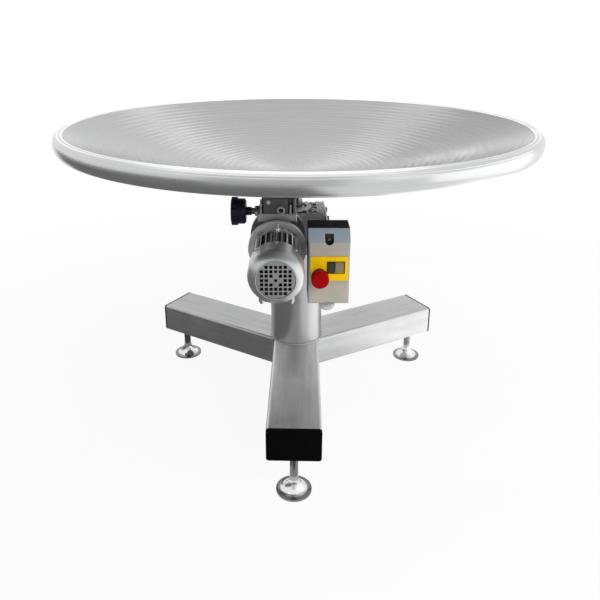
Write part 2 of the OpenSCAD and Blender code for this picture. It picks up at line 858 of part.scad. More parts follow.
module output_bearings() color(polished) translate([0, 0, drive_z]) {
    for (z = [chamber_half - output_bearing_w, -chamber_half]) translate([0, 0, z])
        bearing(output_bearing_d / 2, wheel_hub_d / 2 + running, output_bearing_w);
}

module output_seals() color(black) translate([0, 0, drive_z]) {
    for (z = [gear_top - output_seal_w, -gear_top]) translate([0, 0, z])
        ring(output_seal_d / 2, wheel_hub_d / 2 + running, output_seal_w);
}

module worm_end_cap() color(black) on_drive(-tunnel_half) mirror([0, 0, 1]) {
    disc_t = 5;
    cylinder(r = tunnel_r, h = disc_t);
    translate([0, 0, disc_t - sink]) cylinder(r = tunnel_r - 6, h = 2);
}

// Cover screws, filler plug and breather
module gearbox_fasteners() color(polished) {
    at_cover_screws() {
        translate([0, 0, drive_z + gear_top]) cap_screw(cover_screw_d, cover_screw_len);
        translate([0, 0, drive_z - gear_top]) mirror([0, 0, 1]) cap_screw(cover_screw_d, cover_screw_len);
    }
    at_gearbox_plugs() {
        translate([0, 0, -8]) cylinder(d = plug_d, h = 9);
        cylinder(d = plug_d + 8, h = 3);
        translate([0, 0, 3 - sink]) hexagon(plug_d + 4, 6);
    }
}

// Web between the input neck and its flange
module input_web() {
    web_t = 8;
    inner = input_neck_r - 4;
    outer = flange_d / 2 - 8;
    translate([0, web_t / 2, 0]) rotate([90, 0, 0]) linear_extrude(web_t) polygon([
        [inner, 2], [inner, input_len - 2], [outer, input_len - 2], [outer, input_len - flange_t - 2]
    ]);
}

module input_flange() color(aluminium) on_drive(tunnel_half) {
    difference() {
        union() {
            cylinder(r = input_neck_r, h = input_len);
            translate([0, 0, input_len - flange_t]) cylinder(d = flange_d, h = flange_t);
            for (a = [0, 90, 180]) rotate([0, 0, a]) input_web();
        }
        translate([0, 0, -1]) cylinder(r = worm_shaft_d / 2 + 6, h = input_len + 2);
        at_flange_bolts() translate([0, 0, -1]) cylinder(d = flange_bolt_d + 1, h = input_len + 2);
    }
}

// Variable-speed drive

module variator_housing() color(cast_grey) on_drive(input_face) {
    difference() {
        union() {
            cylinder(r = barrel_r, h = variator_len);
            for (z = [0, variator_len - flange_t]) translate([0, 0, z]) cylinder(d = flange_d, h = flange_t);
            translate([0, saddle_h / 2, saddle_start - input_face])
                linear_extrude(saddle_len) round_rect(saddle_w, saddle_h, 6);
            for (a = [180, 202.5, 247.5, 270, 292.5, 337.5, 360]) rotate([0, 0, a])
                translate([barrel_r - 3, -3, flange_t - 1]) cube([8, 6, variator_len - 2 * flange_t + 2]);
        }
        translate([0, 0, 14]) cylinder(r = barrel_bore_r, h = variator_len);
        translate([0, 0, -1]) cylinder(r = worm_shaft_d / 2 + 6, h = variator_len);
        for (z = [-1, variator_len - flange_t - 1]) at_flange_bolts() translate([0, 0, z])
            cylinder(d = flange_bolt_d + 1, h = flange_t + 2);
        at_block_screws() translate([0, 0, -22]) cylinder(d = block_screw_d + hole_play, h = 30);
    }
}

// Four places on the control block's lip, with Z up
module at_block_screws() {
    for (x = [8 - saddle_w / 2, block_left + block_w - 14], z = [8, saddle_len - 8])
        translate([x, saddle_h, saddle_start - input_face + z]) rotate([-90, 0, 0]) children();
}

module control_block() color(cast_grey) on_drive() {
    difference() {
        union() {
            translate([0, saddle_h, saddle_start + saddle_len / 2]) rotate([-90, 0, 0])
                round_block(saddle_w, saddle_len, lip_t, 6);
            translate([block_left + block_w / 2, block_low - 1, block_start + block_len / 2])
                rotate([-90, 0, 0]) round_block(block_w, block_len, block_h + 1, 8);
            translate([boss_end, spindle_h, spindle_at]) rotate([0, 90, 0])
                cylinder(d = spindle_boss_d, h = boss_len + 10);
            translate([sight_x, sight_y, block_start + block_len - 1]) cylinder(d = sight_d + 8, h = 4);
        }
        translate([boss_end - 1, spindle_h, spindle_at]) rotate([0, 90, 0])
            cylinder(d = spindle_d + 2 * running, h = boss_len + spindle_inside + 2);
        translate([0, 0, input_face]) at_block_screws() translate([0, 0, -1]) {
            cylinder(d = block_screw_d + hole_play, h = lip_t + 2);
            translate([0, 0, lip_t + 1]) cylinder(d = 2.6 * block_screw_d, h = block_h + 2);
        }
        translate([sight_x, sight_y, block_start + block_len - 6]) cylinder(d = sight_d - 4, h = 12);
    }
}

module variator_fittings() color(polished) on_drive() {
    translate([0, 0, input_face]) at_block_screws() translate([0, 0, lip_t]) {
        hex_bolt(block_screw_d, lip_t + 14);
        cylinder(d = block_stud_d, h = block_stud_h);
    }
    translate([sight_x, sight_y, block_start + block_len + 3]) {
        translate([0, 0, -8]) cylinder(d = sight_d - 4 - hole_play, h = 9);
        difference() {
            cylinder(d = sight_d, h = 5);
            translate([0, 0, 2]) cylinder(d = sight_d - 8, h = 4);
        }
    }
    translate([block_left + 17, block_low + block_h - 7, block_start + block_len]) hexagon(10, 6);
}

module control_spindle() color(polished) on_drive() {
    in_wheel = wheel_neck_len + 4;
    translate([handwheel_at - in_wheel, spindle_h, spindle_at]) rotate([0, 90, 0])
        cylinder(d = spindle_d, h = in_wheel + spindle_bare + boss_len + spindle_inside);
    translate([handwheel_at + face_gap, spindle_h, spindle_at]) rotate([0, 90, 0])
        cylinder(d = spindle_d + 6, h = spindle_bare - 3 * face_gap);
}

// Places its child on the spindle, with Z outward from the end of the neck
module on_handwheel() {
    on_drive() translate([handwheel_at, spindle_h, spindle_at]) rotate([0, -90, 0]) children();
}

module handwheel() color(black) on_handwheel() {
    drum_at = wheel_neck_len;
    drum_r = wheel_drum_d / 2;
    rim_at = drum_at + wheel_drum_w;
    flutes = 12;
    difference() {
        union() {
            cylinder(d = wheel_neck_d, h = drum_at + 1);
            rotate_extrude() translate([0, drum_at]) polygon([
                [0, 0], [drum_r - 4, 0], [drum_r, 4], [drum_r, wheel_drum_w], [0, wheel_drum_w]
            ]);
            translate([0, 0, rim_at - sink]) cylinder(d = wheel_rim_d, h = wheel_rim_w);
        }
        translate([0, 0, -1]) cylinder(d = spindle_d, h = wheel_neck_len + 5);
        translate([0, 0, rim_at + wheel_rim_w - 3]) cylinder(d = wheel_rim_d - 8, h = 4);
        for (i = [0:flutes - 1]) rotate([0, 0, i * 360 / flutes])
            translate([wheel_rim_d / 2 + 4, 0, rim_at + 3]) cylinder(d = 12, h = wheel_rim_w);
    }
}

module handwheel_cap() color("#3a3d42") on_handwheel() {
    translate([0, 0, wheel_neck_len + wheel_drum_w + wheel_rim_w - 3])
        cylinder(d = wheel_rim_d - 8 - 2 * face_gap, h = 4);
}

module friction_ring() color(polished) on_drive(planet_at - 2) {
    for (z = [0, planet_len / 2 + 3]) translate([0, 0, z])
        ring(barrel_bore_r - running, ring_inner_r, planet_len / 2 + 1);
}

module at_planets() {
    for (i = [0:planets - 1]) rotate([0, 0, i * 360 / planets]) translate([planet_circle_r, 0, 0])
        children();
}

module planet_carrier() color(steel) on_drive(carrier_at) {
    difference() {
        union() {
            cylinder(r = planet_circle_r + 7, h = carrier_t);
            translate([0, 0, -4]) cylinder(r = worm_shaft_d / 2 + 5, h = 5);
        }
        translate([0, 0, -5]) cylinder(d = worm_shaft_d + 2 * running, h = carrier_t + 6);
    }
    at_planets() {
        translate([0, 0, carrier_t - sink]) cylinder(r = planet_pin_r, h = planet_len + 10);
        translate([0, 0, planet_at - carrier_at]) planet();
    }
}

// Double-coned roller on its pin
module planet() {
    half = planet_len / 2;
    difference() {
        union() {
            cylinder(r1 = planet_r - 3, r2 = planet_r, h = half);
            translate([0, 0, half]) cylinder(r1 = planet_r, r2 = planet_r - 3, h = half);
        }
        translate([0, 0, -1]) cylinder(r = planet_pin_r + running, h = planet_len + 2);
    }
}

// Bolts through both flange joints, heads forward and nuts behind
module flange_bolts() color(polished) on_drive() {
    for (joint = [input_face, motor_face]) at_flange_bolts() translate([0, 0, joint + flange_t]) {
        hex_bolt(flange_bolt_d, 2 * flange_t + flange_bolt_d);
        translate([0, 0, -2 * flange_t - 0.8 * flange_bolt_d])
            hexagon(1.6 * flange_bolt_d, 0.8 * flange_bolt_d);
    }
}

// Motor

module motor_shield() color(aluminium) on_drive(motor_face) {
    seat = shield_len - motor_bearing_w;
    difference() {
        union() {
            cylinder(d = flange_d, h = flange_t);
            cylinder(r = flange_neck_r, h = shield_len);
            translate([0, 0, shield_len - 10]) cylinder(r = frame_r + 4, h = 10);
            for (a = [22.5:45:337.5]) rotate([0, 0, a]) translate([flange_neck_r - 4, -3, flange_t - 1])
                cube([frame_r - flange_neck_r + 6, 6, shield_len - flange_t - 8]);
        }
        translate([0, 0, -1]) cylinder(d = rotor_shaft_d + 6, h = shield_len + 2);
        translate([0, 0, seat]) cylinder(d = motor_bearing_d, h = shield_len);
        at_flange_bolts() translate([0, 0, -1]) cylinder(d = flange_bolt_d + 1, h = flange_t + 2);
        at_tie_screws() translate([0, 0, shield_len - 11]) cylinder(d = tie_screw_d + hole_play, h = 12);
    }
}

// Four tie screws between the fins of the frame
module at_tie_screws() {
    for (a = [0:90:270]) rotate([0, 0, a]) translate([frame_r, fin_pitch / 2, 0]) children();
}

// Section of the frame: a round body with upright fins above and below and level fins at the sides
module frame_section() {
    reach = 3;
    circle(frame_r);
    intersection() {
        circle(fin_r);
        for (turn = [0, 90]) rotate([0, 0, turn]) intersection() {
            for (i = [-reach:reach]) translate([i * fin_pitch - fin_t / 2, -fin_r])
                square([fin_t, 2 * fin_r]);
            for (side = [0, 180]) rotate([0, 0, side])
                polygon([[0, 0], [fin_r, fin_r], [-fin_r, fin_r]]);
        }
    }
}

module motor_frame() color(aluminium) on_drive(frame_start) {
    seat_w = 60;
    lead_hole = 30;
    box_start = terminal_at - frame_start;
    difference() {
        union() {
            linear_extrude(frame_len) frame_section();
            translate([-seat_w / 2, terminal_top, box_start + 10])
                cube([seat_w, frame_r + terminal_seat - 30, terminal_len - 14]);
        }
        translate([0, 0, -1]) cylinder(r = frame_r - frame_wall, h = frame_len + 2);
        translate([-lead_hole / 2, terminal_top - 1, box_start + (terminal_len - lead_hole) / 2])
            cube([lead_hole, frame_r, lead_hole]);
        translate([-terminal_w / 2, -2 * fin_r, box_start - 1])
            cube([terminal_w, 2 * fin_r + terminal_top, frame_len]);
        at_tie_screws() translate([0, 0, -1]) cylinder(d = tie_screw_d + hole_play, h = frame_len + 2);
    }
}

module stator() color("#6e5036") on_drive(core_start) {
    winding_len = 8;
    inner = rotor_d / 2 + air_gap;
    outer = frame_r - frame_wall - running;
    ring(outer, inner, core_len);
    for (z = [-winding_len, core_len - sink]) translate([0, 0, z])
        ring(outer - 4, inner + 3, winding_len + sink);
}

module rotor() color(polished) on_drive() {
    half = planet_len / 2;
    translate([0, 0, core_start]) cylinder(d = rotor_d, h = core_len);
    translate([0, 0, planet_at]) cylinder(d = rotor_shaft_d, h = cover_front - 34 - planet_at);
    translate([0, 0, planet_at - 2]) cylinder(r1 = sun_r, r2 = sun_r - 3, h = half);
    translate([0, 0, planet_at + half + 2]) cylinder(r1 = sun_r - 3, r2 = sun_r, h = half);
}

module motor_bearings() color(polished) on_drive() {
    for (z = [frame_start - motor_bearing_w, frame_end]) translate([0, 0, z])
        bearing(motor_bearing_d / 2, rotor_shaft_d / 2 + running, motor_bearing_w);
}

module rear_shield() color(aluminium) on_drive(frame_end) {
    difference() {
        cylinder(r = cover_inner_r - running, h = rear_shield_t);
        translate([0, 0, -1]) cylinder(d = motor_bearing_d, h = motor_bearing_w + 1);
        translate([0, 0, -1]) cylinder(d = rotor_shaft_d + 4, h = rear_shield_t + 2);
        translate([0, 0, -1]) ring(frame_r - frame_wall, motor_bearing_d / 2 + 6, rear_shield_t - 5);
        at_tie_screws() translate([0, 0, -1]) cylinder(d = tie_screw_d + hole_play, h = rear_shield_t + 2);
        at_cover_fixings() cylinder(d = cover_fixing_d + hole_play, h = 12);
    }
}

// Screws around the fan cover's skirt, one on top and four at the corners, from 10 inside the skirt
module at_cover_fixings() {
    for (a = [45, 90, 135, 225, 315]) rotate([0, 0, a])
        translate([fan_cover_d / 2 - 10, 0, rear_shield_t / 2 + 1]) rotate([0, 90, 0]) children();
}

module cooling_fan() color(black) on_drive(rear_face + 6) {
    blade_len = cover_front - rear_face - shoulder_len - 8;
    blade_t = 2.5;
    blade_start = rotor_shaft_d / 2 + 3;
    difference() {
        union() {
            cylinder(d = rotor_shaft_d + 12, h = blade_len);
            cylinder(d = grille_d, h = 3);
            for (i = [0:fan_blades - 1]) rotate([0, 0, i * 360 / fan_blades])
                translate([blade_start, -blade_t / 2, 0])
                    cube([grille_d / 2 + 9 - blade_start, blade_t, blade_len]);
        }
        translate([0, 0, -1]) cylinder(d = rotor_shaft_d, h = blade_len + 2);
    }
}

// Outline of the fan cover, inset by its sheet for the inside
module fan_cover_outline(inset) {
    r = fan_cover_d / 2 - inset;
    top = fan_cover_len - inset;
    bend = [fan_cover_d / 2 - shoulder_r, fan_cover_len - shoulder_len];
    translate([0, -inset]) square([r, bend.y + inset]);
    intersection() {
        square([r, top]);
        union() {
            square([cover_flat_r, top]);
            translate(bend) circle(shoulder_r - inset);
        }
    }
}

module fan_cover() color(aluminium) on_drive(frame_end) {
    count = floor(grille_d / 2 / grille_pitch);
    difference() {
        rotate_extrude() {
            difference() {
                translate([0, 1]) fan_cover_outline(0);
                fan_cover_outline(fan_cover_t);
                translate([0, fan_cover_len]) square([grille_d / 2, 2]);
            }
            translate([grille_d / 2 + bead_r, fan_cover_len + 1]) circle(bead_r, $fn = 32);
        }
        translate([0, 0, fan_cover_len - 5]) linear_extrude(10) intersection() {
            for (i = [-count:count], j = [-count:count]) {
                place = grille_pitch * [i, j];
                if (norm(place) < grille_d / 2 - 3 && norm(place) > grille_hub_d / 2)
                    translate(place) square(grille_hole, center = true);
            }
            circle(d = grille_d - 2);
        }
        translate([0, 0, fan_cover_len - 5]) cylinder(d = grille_hole, h = 10);
        at_cover_fixings() cylinder(d = cover_fixing_d + hole_play, h = 14);
    }
}

module motor_screws() color(polished) on_drive() {
    translate([0, 0, frame_end]) at_cover_fixings() {
        translate([0, 0, 1]) cylinder(d = cover_fixing_d, h = 9 + sink);
        translate([0, 0, 10]) cylinder(d = 2 * cover_fixing_d, h = 2.5);
    }
    at_tie_screws() {
        translate([0, 0, frame_start - 10]) cylinder(d = tie_screw_d, h = frame_len + rear_shield_t + 10);
        translate([0, 0, frame_start - 14]) hexagon(1.6 * tie_screw_d, 4 + sink);
    }
    on_lid() at_lid_screws() translate([0, 0, lid_t]) cap_screw(lid_screw_d, lid_t + 14);
}

// Terminal box, under the frame

// The terminal box's axes: Z down from its seat, X to the right
module on_terminal_box() {
    translate([0, terminal_top, terminal_at + terminal_len / 2]) rotate([90, 0, 0]) children();
}

// The lid's axes: Z down from its joint with the box
module on_lid() {
    on_terminal_box() translate([0, 0, terminal_h]) children();
}

module terminal_box() color(aluminium) on_drive() on_terminal_box() {
    walls = 2 * terminal_wall;
    difference() {
        union() {
            round_block(terminal_body_w, terminal_body_len, terminal_h, terminal_corner_r);
            at_lid_screws() cylinder(d = lid_post_d, h = terminal_h);
        }
        translate([0, 0, terminal_wall])
            round_block(terminal_body_w - walls, terminal_body_len - walls, terminal_h, 5);
        translate([-12, -12, -1]) cube([24, 24, terminal_wall + 2]);
        at_lid_screws() translate([0, 0, 8]) cylinder(d = lid_screw_d + hole_play, h = terminal_h);
        at_glands() translate([0, 0, -8]) cylinder(d = entry_d + hole_play, h = 12);
    }
}

module at_lid_screws() {
    for (x = [-1, 1], y = [-1, 1])
        translate([x * (terminal_w - lid_post_d) / 2, y * (terminal_len - lid_post_d) / 2, 0]) children();
}

// The right side's plug and the back's gland, Z outward from the box's wall
module at_glands() {
    translate([terminal_body_w / 2, 6, terminal_h / 2]) rotate([0, 90, 0]) children();
    translate([0, -terminal_body_len / 2, terminal_h / 2]) rotate([90, 0, 0]) children();
}

module terminal_lid() color(aluminium) on_drive() on_lid() {
    difference() {
        union() {
            round_block(terminal_body_w, terminal_body_len, lid_t, terminal_corner_r);
            at_lid_screws() cylinder(d = lid_post_d, h = lid_t);
        }
        at_lid_screws() translate([0, 0, -1]) cylinder(d = lid_screw_d + hole_play, h = lid_t + 2);
    }
}

module terminal_gland() color(black) on_drive() on_terminal_box() {
    at_glands() {
        translate([0, 0, -terminal_wall]) cylinder(d = entry_d, h = terminal_wall + 1);
        hexagon(entry_d + 4, 5);
        translate([0, 0, 5 - sink]) cylinder(d = entry_d + 1, h = 6);
    }
}

// Switch box

module switch_base() color(black) on_box() {
    post_top = box_base_d + box_cover_d - pocket_depth;
    difference() {
        translate([-box_w / 2, 0, 0]) cube([box_w, box_h, box_base_d]);
        translate([-box_w / 2 + box_wall, box_wall, box_wall])
            cube([box_w - 2 * box_wall, box_h - 2 * box_wall, box_base_d]);
        at_box_bolts() translate([0, 0, -1]) cylinder(d = box_bolt_d + hole_play, h = box_wall + 2);
        translate([0, -1, gland_y - box_back]) rotate([-90, 0, 0])
            cylinder(d = gland_d - 12 + hole_play, h = box_wall + 2);
        for (x = [-22, 22]) translate([x, box_h - 1, box_base_d / 2]) rotate([-90, 0, 0]) ring(11, 9.5, 3);
    }
    at_cover_screw() difference() {
        translate([-6, -6, box_wall - sink - post_top])
            cube([12, 12, post_top - 2 * box_wall - face_gap]);
        translate([0, 0, -box_cover_d - 6]) cylinder(d = box_screw_d + hole_play, h = box_cover_d + 6);
    }
}

module at_box_bolts() {
    for (y = [0.3, 0.7]) translate([-10, box_h * y, 0]) children();
}

// Side outline of the cover, with its back at x = 0
module cover_outline(inset) {
    depth = box_cover_d - inset;
    polygon([
        [-inset, inset], [depth - 3, inset], [depth, inset + 3], [depth, box_h - box_slope - inset / 2],
        [inset / 2, box_h - inset], [-inset, box_h - inset]
    ]);
}

module switch_cover() color("#c9c6bb") on_box() {
    difference() {
        union() {
            difference() {
                cover_block(0);
                cover_block(box_wall);
            }
            intersection() {
                cover_block(0);
                at_cover_screw() translate([0, 0, -box_wall]) cover_pocket(pocket_d + 2 * box_wall);
            }
        }
        translate([stop_x - box_mid_x, stop_z - box_z, box_base_d])
            cylinder(d = stop_hole_d, h = box_cover_d + 1);
        translate([start_x - box_mid_x - face_gap, start_z - box_z - start_h / 2 - face_gap, box_base_d])
            cube([window_w + 2 * face_gap, start_h + 2 * face_gap, box_cover_d + 1]);
        at_cover_screw() {
            translate([0, 0, -box_wall - 1]) cylinder(d = box_screw_d + hole_play, h = box_wall + 2);
            cover_pocket(pocket_d);
        }
    }
}

// Slot for the cover's screw, round below and open above, from z = 0
module cover_pocket(width) {
    linear_extrude(box_cover_d) {
        circle(d = width);
        translate([-width / 2, 0]) square([width, box_h - pocket_y]);
    }
}

// Plan of the cover with its round upright edges, with its back at y = 0
module cover_plan(inset) {
    w = box_w - 2 * inset;
    depth = box_cover_d - inset;
    r = cover_edge_r - inset;
    translate([-w / 2, -inset]) square([w, depth + inset - r]);
    translate([r - w / 2, 0]) square([w - 2 * r, depth]);
    for (x = [-1, 1]) translate([x * (w / 2 - r), depth - r]) circle(r);
}

// Solid of the cover's side outline and plan
module cover_block(inset) {
    translate([0, 0, box_base_d]) intersection() {
        translate([-box_w / 2, 0, 0]) rotate([0, 90, 0]) mirror([1, 0, 0])
            linear_extrude(box_w) cover_outline(inset);
        rotate([90, 0, 0]) mirror([0, 0, 1]) linear_extrude(box_h) cover_plan(inset);
    }
}

// The floor of the slot for the cover's screw
module at_cover_screw() {
    translate([0, pocket_y, box_base_d + box_cover_d - pocket_depth]) children();
}

module switch_plate() color("#f2b705") on_box() {
    translate([0, plate_z - box_z, box_base_d + box_cover_d]) difference() {
        round_block(plate_w, plate_h, plate_t, 3);
        translate([stop_x - box_mid_x, stop_z - plate_z, -1]) cylinder(d = stop_hole_d, h = plate_t + 2);
        translate([start_x - box_mid_x - face_gap, start_z - plate_z - start_h / 2 - face_gap, -1])
            cube([window_w + 2 * face_gap, start_h + 2 * face_gap, plate_t + 2]);
    }
}

module at_stop() {
    translate([stop_x - box_mid_x, stop_z - box_z, plate_front - box_back]) children();
}

module stop_button() color("#c8102e") on_box() at_stop() {
    head_at = stop_collar_h + stop_gap;
    edge_r = 4;
    r = stop_d / 2;
    side = stop_head - edge_r;
    translate([0, 0, -button_depth]) cylinder(d = stop_stem_d, h = head_at + button_depth + 1);
    rotate_extrude() translate([0, head_at]) {
        polygon([[0, 0], [r - 6, 0], [r, 7], [r, side], [0, side]]);
        translate([r - edge_r, side]) circle(edge_r);
        translate([0, side - sink]) square([r - edge_r, edge_r + sink]);
    }
}

module start_button() color(black) on_box() {
    translate([start_x - box_mid_x, start_z - box_z - start_h / 2, plate_front - box_back - button_depth])
        cube([start_w, start_h, button_depth + start_proud]);
}

module motor_switch() color("#8f9296") on_box() {
    body_w = start_w + face_w + 8;
    body_h = 80;
    body_d = plate_front - box_back - button_depth - start_travel - 1;
    rail_h = 20;
    rail_d = 8;
    translate([start_x - box_mid_x - 4, start_z - box_z - body_h / 2, box_wall]) {
        translate([0, (body_h - rail_h) / 2, 0]) cube([body_w, rail_h, rail_d + sink]);
        translate([0, 0, rail_d]) cube([body_w, body_h, body_d - rail_d - box_wall]);
    }
    translate([face_x - box_mid_x, start_z - box_z - start_h / 2, body_d - sink])
        cube([face_w, start_h, plate_front - box_back - body_d - 0.5]);
}

module stop_collar() color(black) on_box() at_stop() {
    ring(stop_collar_d / 2, stop_stem_d / 2 + face_gap, stop_collar_h);
    translate([0, 0, -plate_t - box_wall])
        ring(stop_hole_d / 2 - face_gap, stop_stem_d / 2 + face_gap, plate_t + box_wall + sink);
}

module switch_gland() color("#d8d8d4") on_box() translate([0, 0, gland_y - box_back]) rotate([90, 0, 0]) {
    nut_h = 8;
    translate([0, 0, -box_wall]) cylinder(d = gland_d - 12, h = box_wall + 1);
    hexagon(gland_d, nut_h);
    translate([0, 0, nut_h - sink]) cylinder(d = gland_d - 2, h = gland_len - nut_h);
}

// Screws of the cover, and the bolts that hold the box and its bracket
module switch_screws() color(polished) on_box() {
    at_cover_screw() cap_screw(box_screw_d, box_cover_d + 2);
    at_box_bolts() {
        translate([0, 0, box_wall]) cap_screw(box_bolt_d, box_wall + bracket_t + 6);
        translate([0, 0, -bracket_t - box_bolt_d]) hexagon(1.6 * box_bolt_d, box_bolt_d);
    }
    on_bracket_bolts() hex_bolt(bracket_bolt_d, bracket_t + foot_plate_t);
}

// From the box's axes to the bolts through the bracket's arm
module on_bracket_bolts() {
    rotate([-90, 0, 0]) translate([-box_mid_x, box_back, -box_z]) at_foot_bolts()
        translate([bracket_t, 0, 0]) rotate([0, 90, 0]) children();
}

module switch_bracket() color(steel) {
    difference() {
        union() {
            translate([bracket_x, -bracket_front, bracket_z])
                cube([bracket_t, bracket_front + foot_len / 2, bracket_h]);
            translate([bracket_pad_x, -box_back, bracket_z])
                cube([bracket_x + bracket_t - bracket_pad_x, bracket_t, bracket_h]);
            translate([bracket_pad_x, -box_back, box_z + 20]) cube([bracket_pad_w, bracket_t, box_h - 40]);
        }
        at_foot_bolts() rotate([0, 90, 0]) translate([0, 0, -1])
            cylinder(d = bracket_bolt_d + 1, h = bracket_t + 2);
        on_box() at_box_bolts() translate([0, 0, -bracket_t - 1])
            cylinder(d = box_bolt_d + hole_play, h = bracket_t + 2);
    }
}

// Stand

// Leg tube along +X, mitred at the axis
module leg(turn) {
    tube_len = leg_reach - cap_t;
    mitre = leg_w / 2 / tan(60);
    on_leg(turn) translate([0, 0, leg_clear]) difference() {
        intersection() {
            translate([0, 0, leg_h / 2]) rotate([90, 0, 90]) linear_extrude(tube_len) difference() {
                round_rect(leg_w, leg_h, leg_corner_r);
                round_rect(leg_w - 2 * leg_wall, leg_h - 2 * leg_wall, leg_corner_r - leg_wall);
            }
            translate([0, 0, -1]) linear_extrude(leg_h + 2) polygon([
                [0, 0], [mitre, -leg_w / 2], [mitre, -leg_w], [tube_len + 1, -leg_w],
                [tube_len + 1, leg_w], [mitre, leg_w], [mitre, leg_w / 2]
            ]);
        }
        translate([foot_reach, 0, -1]) cylinder(d = bush_d, h = leg_wall + 2);
    }
}

module leg_front() color(steel) leg(leg_turns[0]);
module leg_right() color(steel) leg(leg_turns[1]);
module leg_left() color(steel) leg(leg_turns[2]);

module leg_end_caps() color(black) {
    plug_w = leg_w - 2 * leg_wall - 2 * face_gap;
    plug_h = leg_h - 2 * leg_wall - 2 * face_gap;
    plug_r = leg_corner_r - leg_wall;
    for (turn = leg_turns) on_leg(turn) translate([leg_reach, 0, leg_clear + leg_h / 2]) rotate([90, 0, 90]) {
        translate([0, 0, -cap_t]) round_block(leg_w, leg_h, cap_t, leg_corner_r);
        translate([0, 0, -cap_t - cap_plug]) linear_extrude(cap_plug + sink) difference() {
            round_rect(plug_w, plug_h, plug_r);
            round_rect(plug_w - 2 * cap_wall, plug_h - 2 * cap_wall, plug_r / 2);
        }
    }
}

// Foot with its flared base on the floor and its stem through the leg's bush
module foot(turn) {
    neck_r = stem_d / 2 + 2;
    flare_h = foot_rise - foot_rim_t;
    flare_w = foot_d / 2 - neck_r;
    flare_r = (flare_w * flare_w + flare_h * flare_h) / (2 * flare_w);
    on_leg(turn) translate([foot_reach, 0, 0]) {
        rotate_extrude() {
            square([foot_d / 2, foot_rim_t]);
            difference() {
                translate([0, foot_rim_t - sink]) square([foot_d / 2, flare_h + sink]);
                translate([neck_r + flare_r, foot_rise]) circle(flare_r);
            }
        }
        translate([0, 0, foot_rim_t]) cylinder(d = stem_d, h = leg_clear + stem_inside - foot_rim_t);
    }
}

module foot_front() color(polished) foot(leg_turns[0]);
module foot_right() color(polished) foot(leg_turns[1]);
module foot_left() color(polished) foot(leg_turns[2]);

module foot_bushes() color(steel) {
    for (turn = leg_turns) on_leg(turn) translate([foot_reach, 0, leg_clear])
        ring(bush_d / 2, stem_d / 2 + running, bush_h);
}

module foot_lock_nuts() color(polished) {
    for (turn = leg_turns) on_leg(turn) translate([foot_reach, 0, leg_clear - lock_nut_h]) difference() {
        hexagon(lock_nut_af, lock_nut_h);
        translate([0, 0, -1]) cylinder(r = stem_d / 2 + running, h = lock_nut_h + 2);
    }
}

module column() color(steel) {
    translate([0, 0, column_z]) ring(column_d / 2, column_d / 2 - column_wall, top_plate_z - column_z);
}

module at_column_bolts() {
    for (a = [45:90:315]) rotate([0, 0, a]) translate([column_bolt_pcd / 2, 0, 0]) children();
}

module column_top_plate() color(steel) {
    translate([0, 0, top_plate_z]) difference() {
        flange_plate(top_plate_t);
        translate([0, 0, -1]) cylinder(d = output_seal_d, h = top_plate_t + 2);
        at_column_bolts() translate([0, 0, -1]) cylinder(d = column_bolt_d + 1, h = top_plate_t + 2);
    }
}

module column_bolts() color(polished) {
    grip = base_flange_t + top_plate_t;
    at_column_bolts() translate([0, 0, base_flange_top_z]) {
        hex_bolt(column_bolt_d, grip + column_bolt_d);
        translate([0, 0, -grip - 0.8 * column_bolt_d])
            hexagon(1.6 * column_bolt_d, 0.8 * column_bolt_d);
    }
}

dish();
rim_ring();
dish_hub();
hub_fasteners();
table_shaft();
shaft_retainer();
worm_wheel();
leg_front();
leg_right();
leg_left();
leg_end_caps();
foot_front();
foot_right();
foot_left();
foot_bushes();
foot_lock_nuts();
column();
column_top_plate();
column_bolts();
gearbox_housing();
gearbox_top_cover();
gearbox_base_flange();
output_bearings();
output_seals();
worm_shaft();
worm_bearings();
worm_end_cap();
gearbox_fasteners();
input_flange();
variator_housing();
control_block();
control_spindle();
handwheel();
handwheel_cap();
variator_fittings();
friction_ring();
planet_carrier();
flange_bolts();
motor_shield();
motor_frame();
stator();
rotor();
motor_bearings();
rear_shield();
cooling_fan();
fan_cover();
motor_screws();
terminal_box();
terminal_lid();
terminal_gland();
switch_base();
switch_cover();
switch_plate();
stop_button();
start_button();
motor_switch();
stop_collar();
switch_gland();
switch_screws();
switch_bracket();
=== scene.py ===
"""Looks of the rotary accumulation table: camera, light, materials and fine surface pieces."""
import math

import bmesh
import bpy
from mathutils import Matrix, Vector


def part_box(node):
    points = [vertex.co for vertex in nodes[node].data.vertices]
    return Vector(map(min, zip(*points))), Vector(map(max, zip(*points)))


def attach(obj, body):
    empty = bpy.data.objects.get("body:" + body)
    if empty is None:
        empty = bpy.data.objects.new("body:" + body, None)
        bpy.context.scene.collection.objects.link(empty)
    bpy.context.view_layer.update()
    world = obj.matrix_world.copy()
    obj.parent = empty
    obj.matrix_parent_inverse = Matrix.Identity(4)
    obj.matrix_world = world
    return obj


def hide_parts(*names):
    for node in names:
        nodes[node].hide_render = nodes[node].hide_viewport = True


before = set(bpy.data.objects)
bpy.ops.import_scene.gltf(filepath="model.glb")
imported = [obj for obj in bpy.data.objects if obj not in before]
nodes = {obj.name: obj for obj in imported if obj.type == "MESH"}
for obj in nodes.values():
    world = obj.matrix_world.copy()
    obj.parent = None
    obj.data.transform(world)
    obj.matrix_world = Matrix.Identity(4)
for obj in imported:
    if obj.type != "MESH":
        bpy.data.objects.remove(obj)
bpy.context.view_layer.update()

scene = bpy.context.scene
full_turn = 2 * math.pi

# The axis of the motor and its drive runs along Y at this X and Z
drive_x = -0.05
drive_z = 0.526


# Camera, light and stage

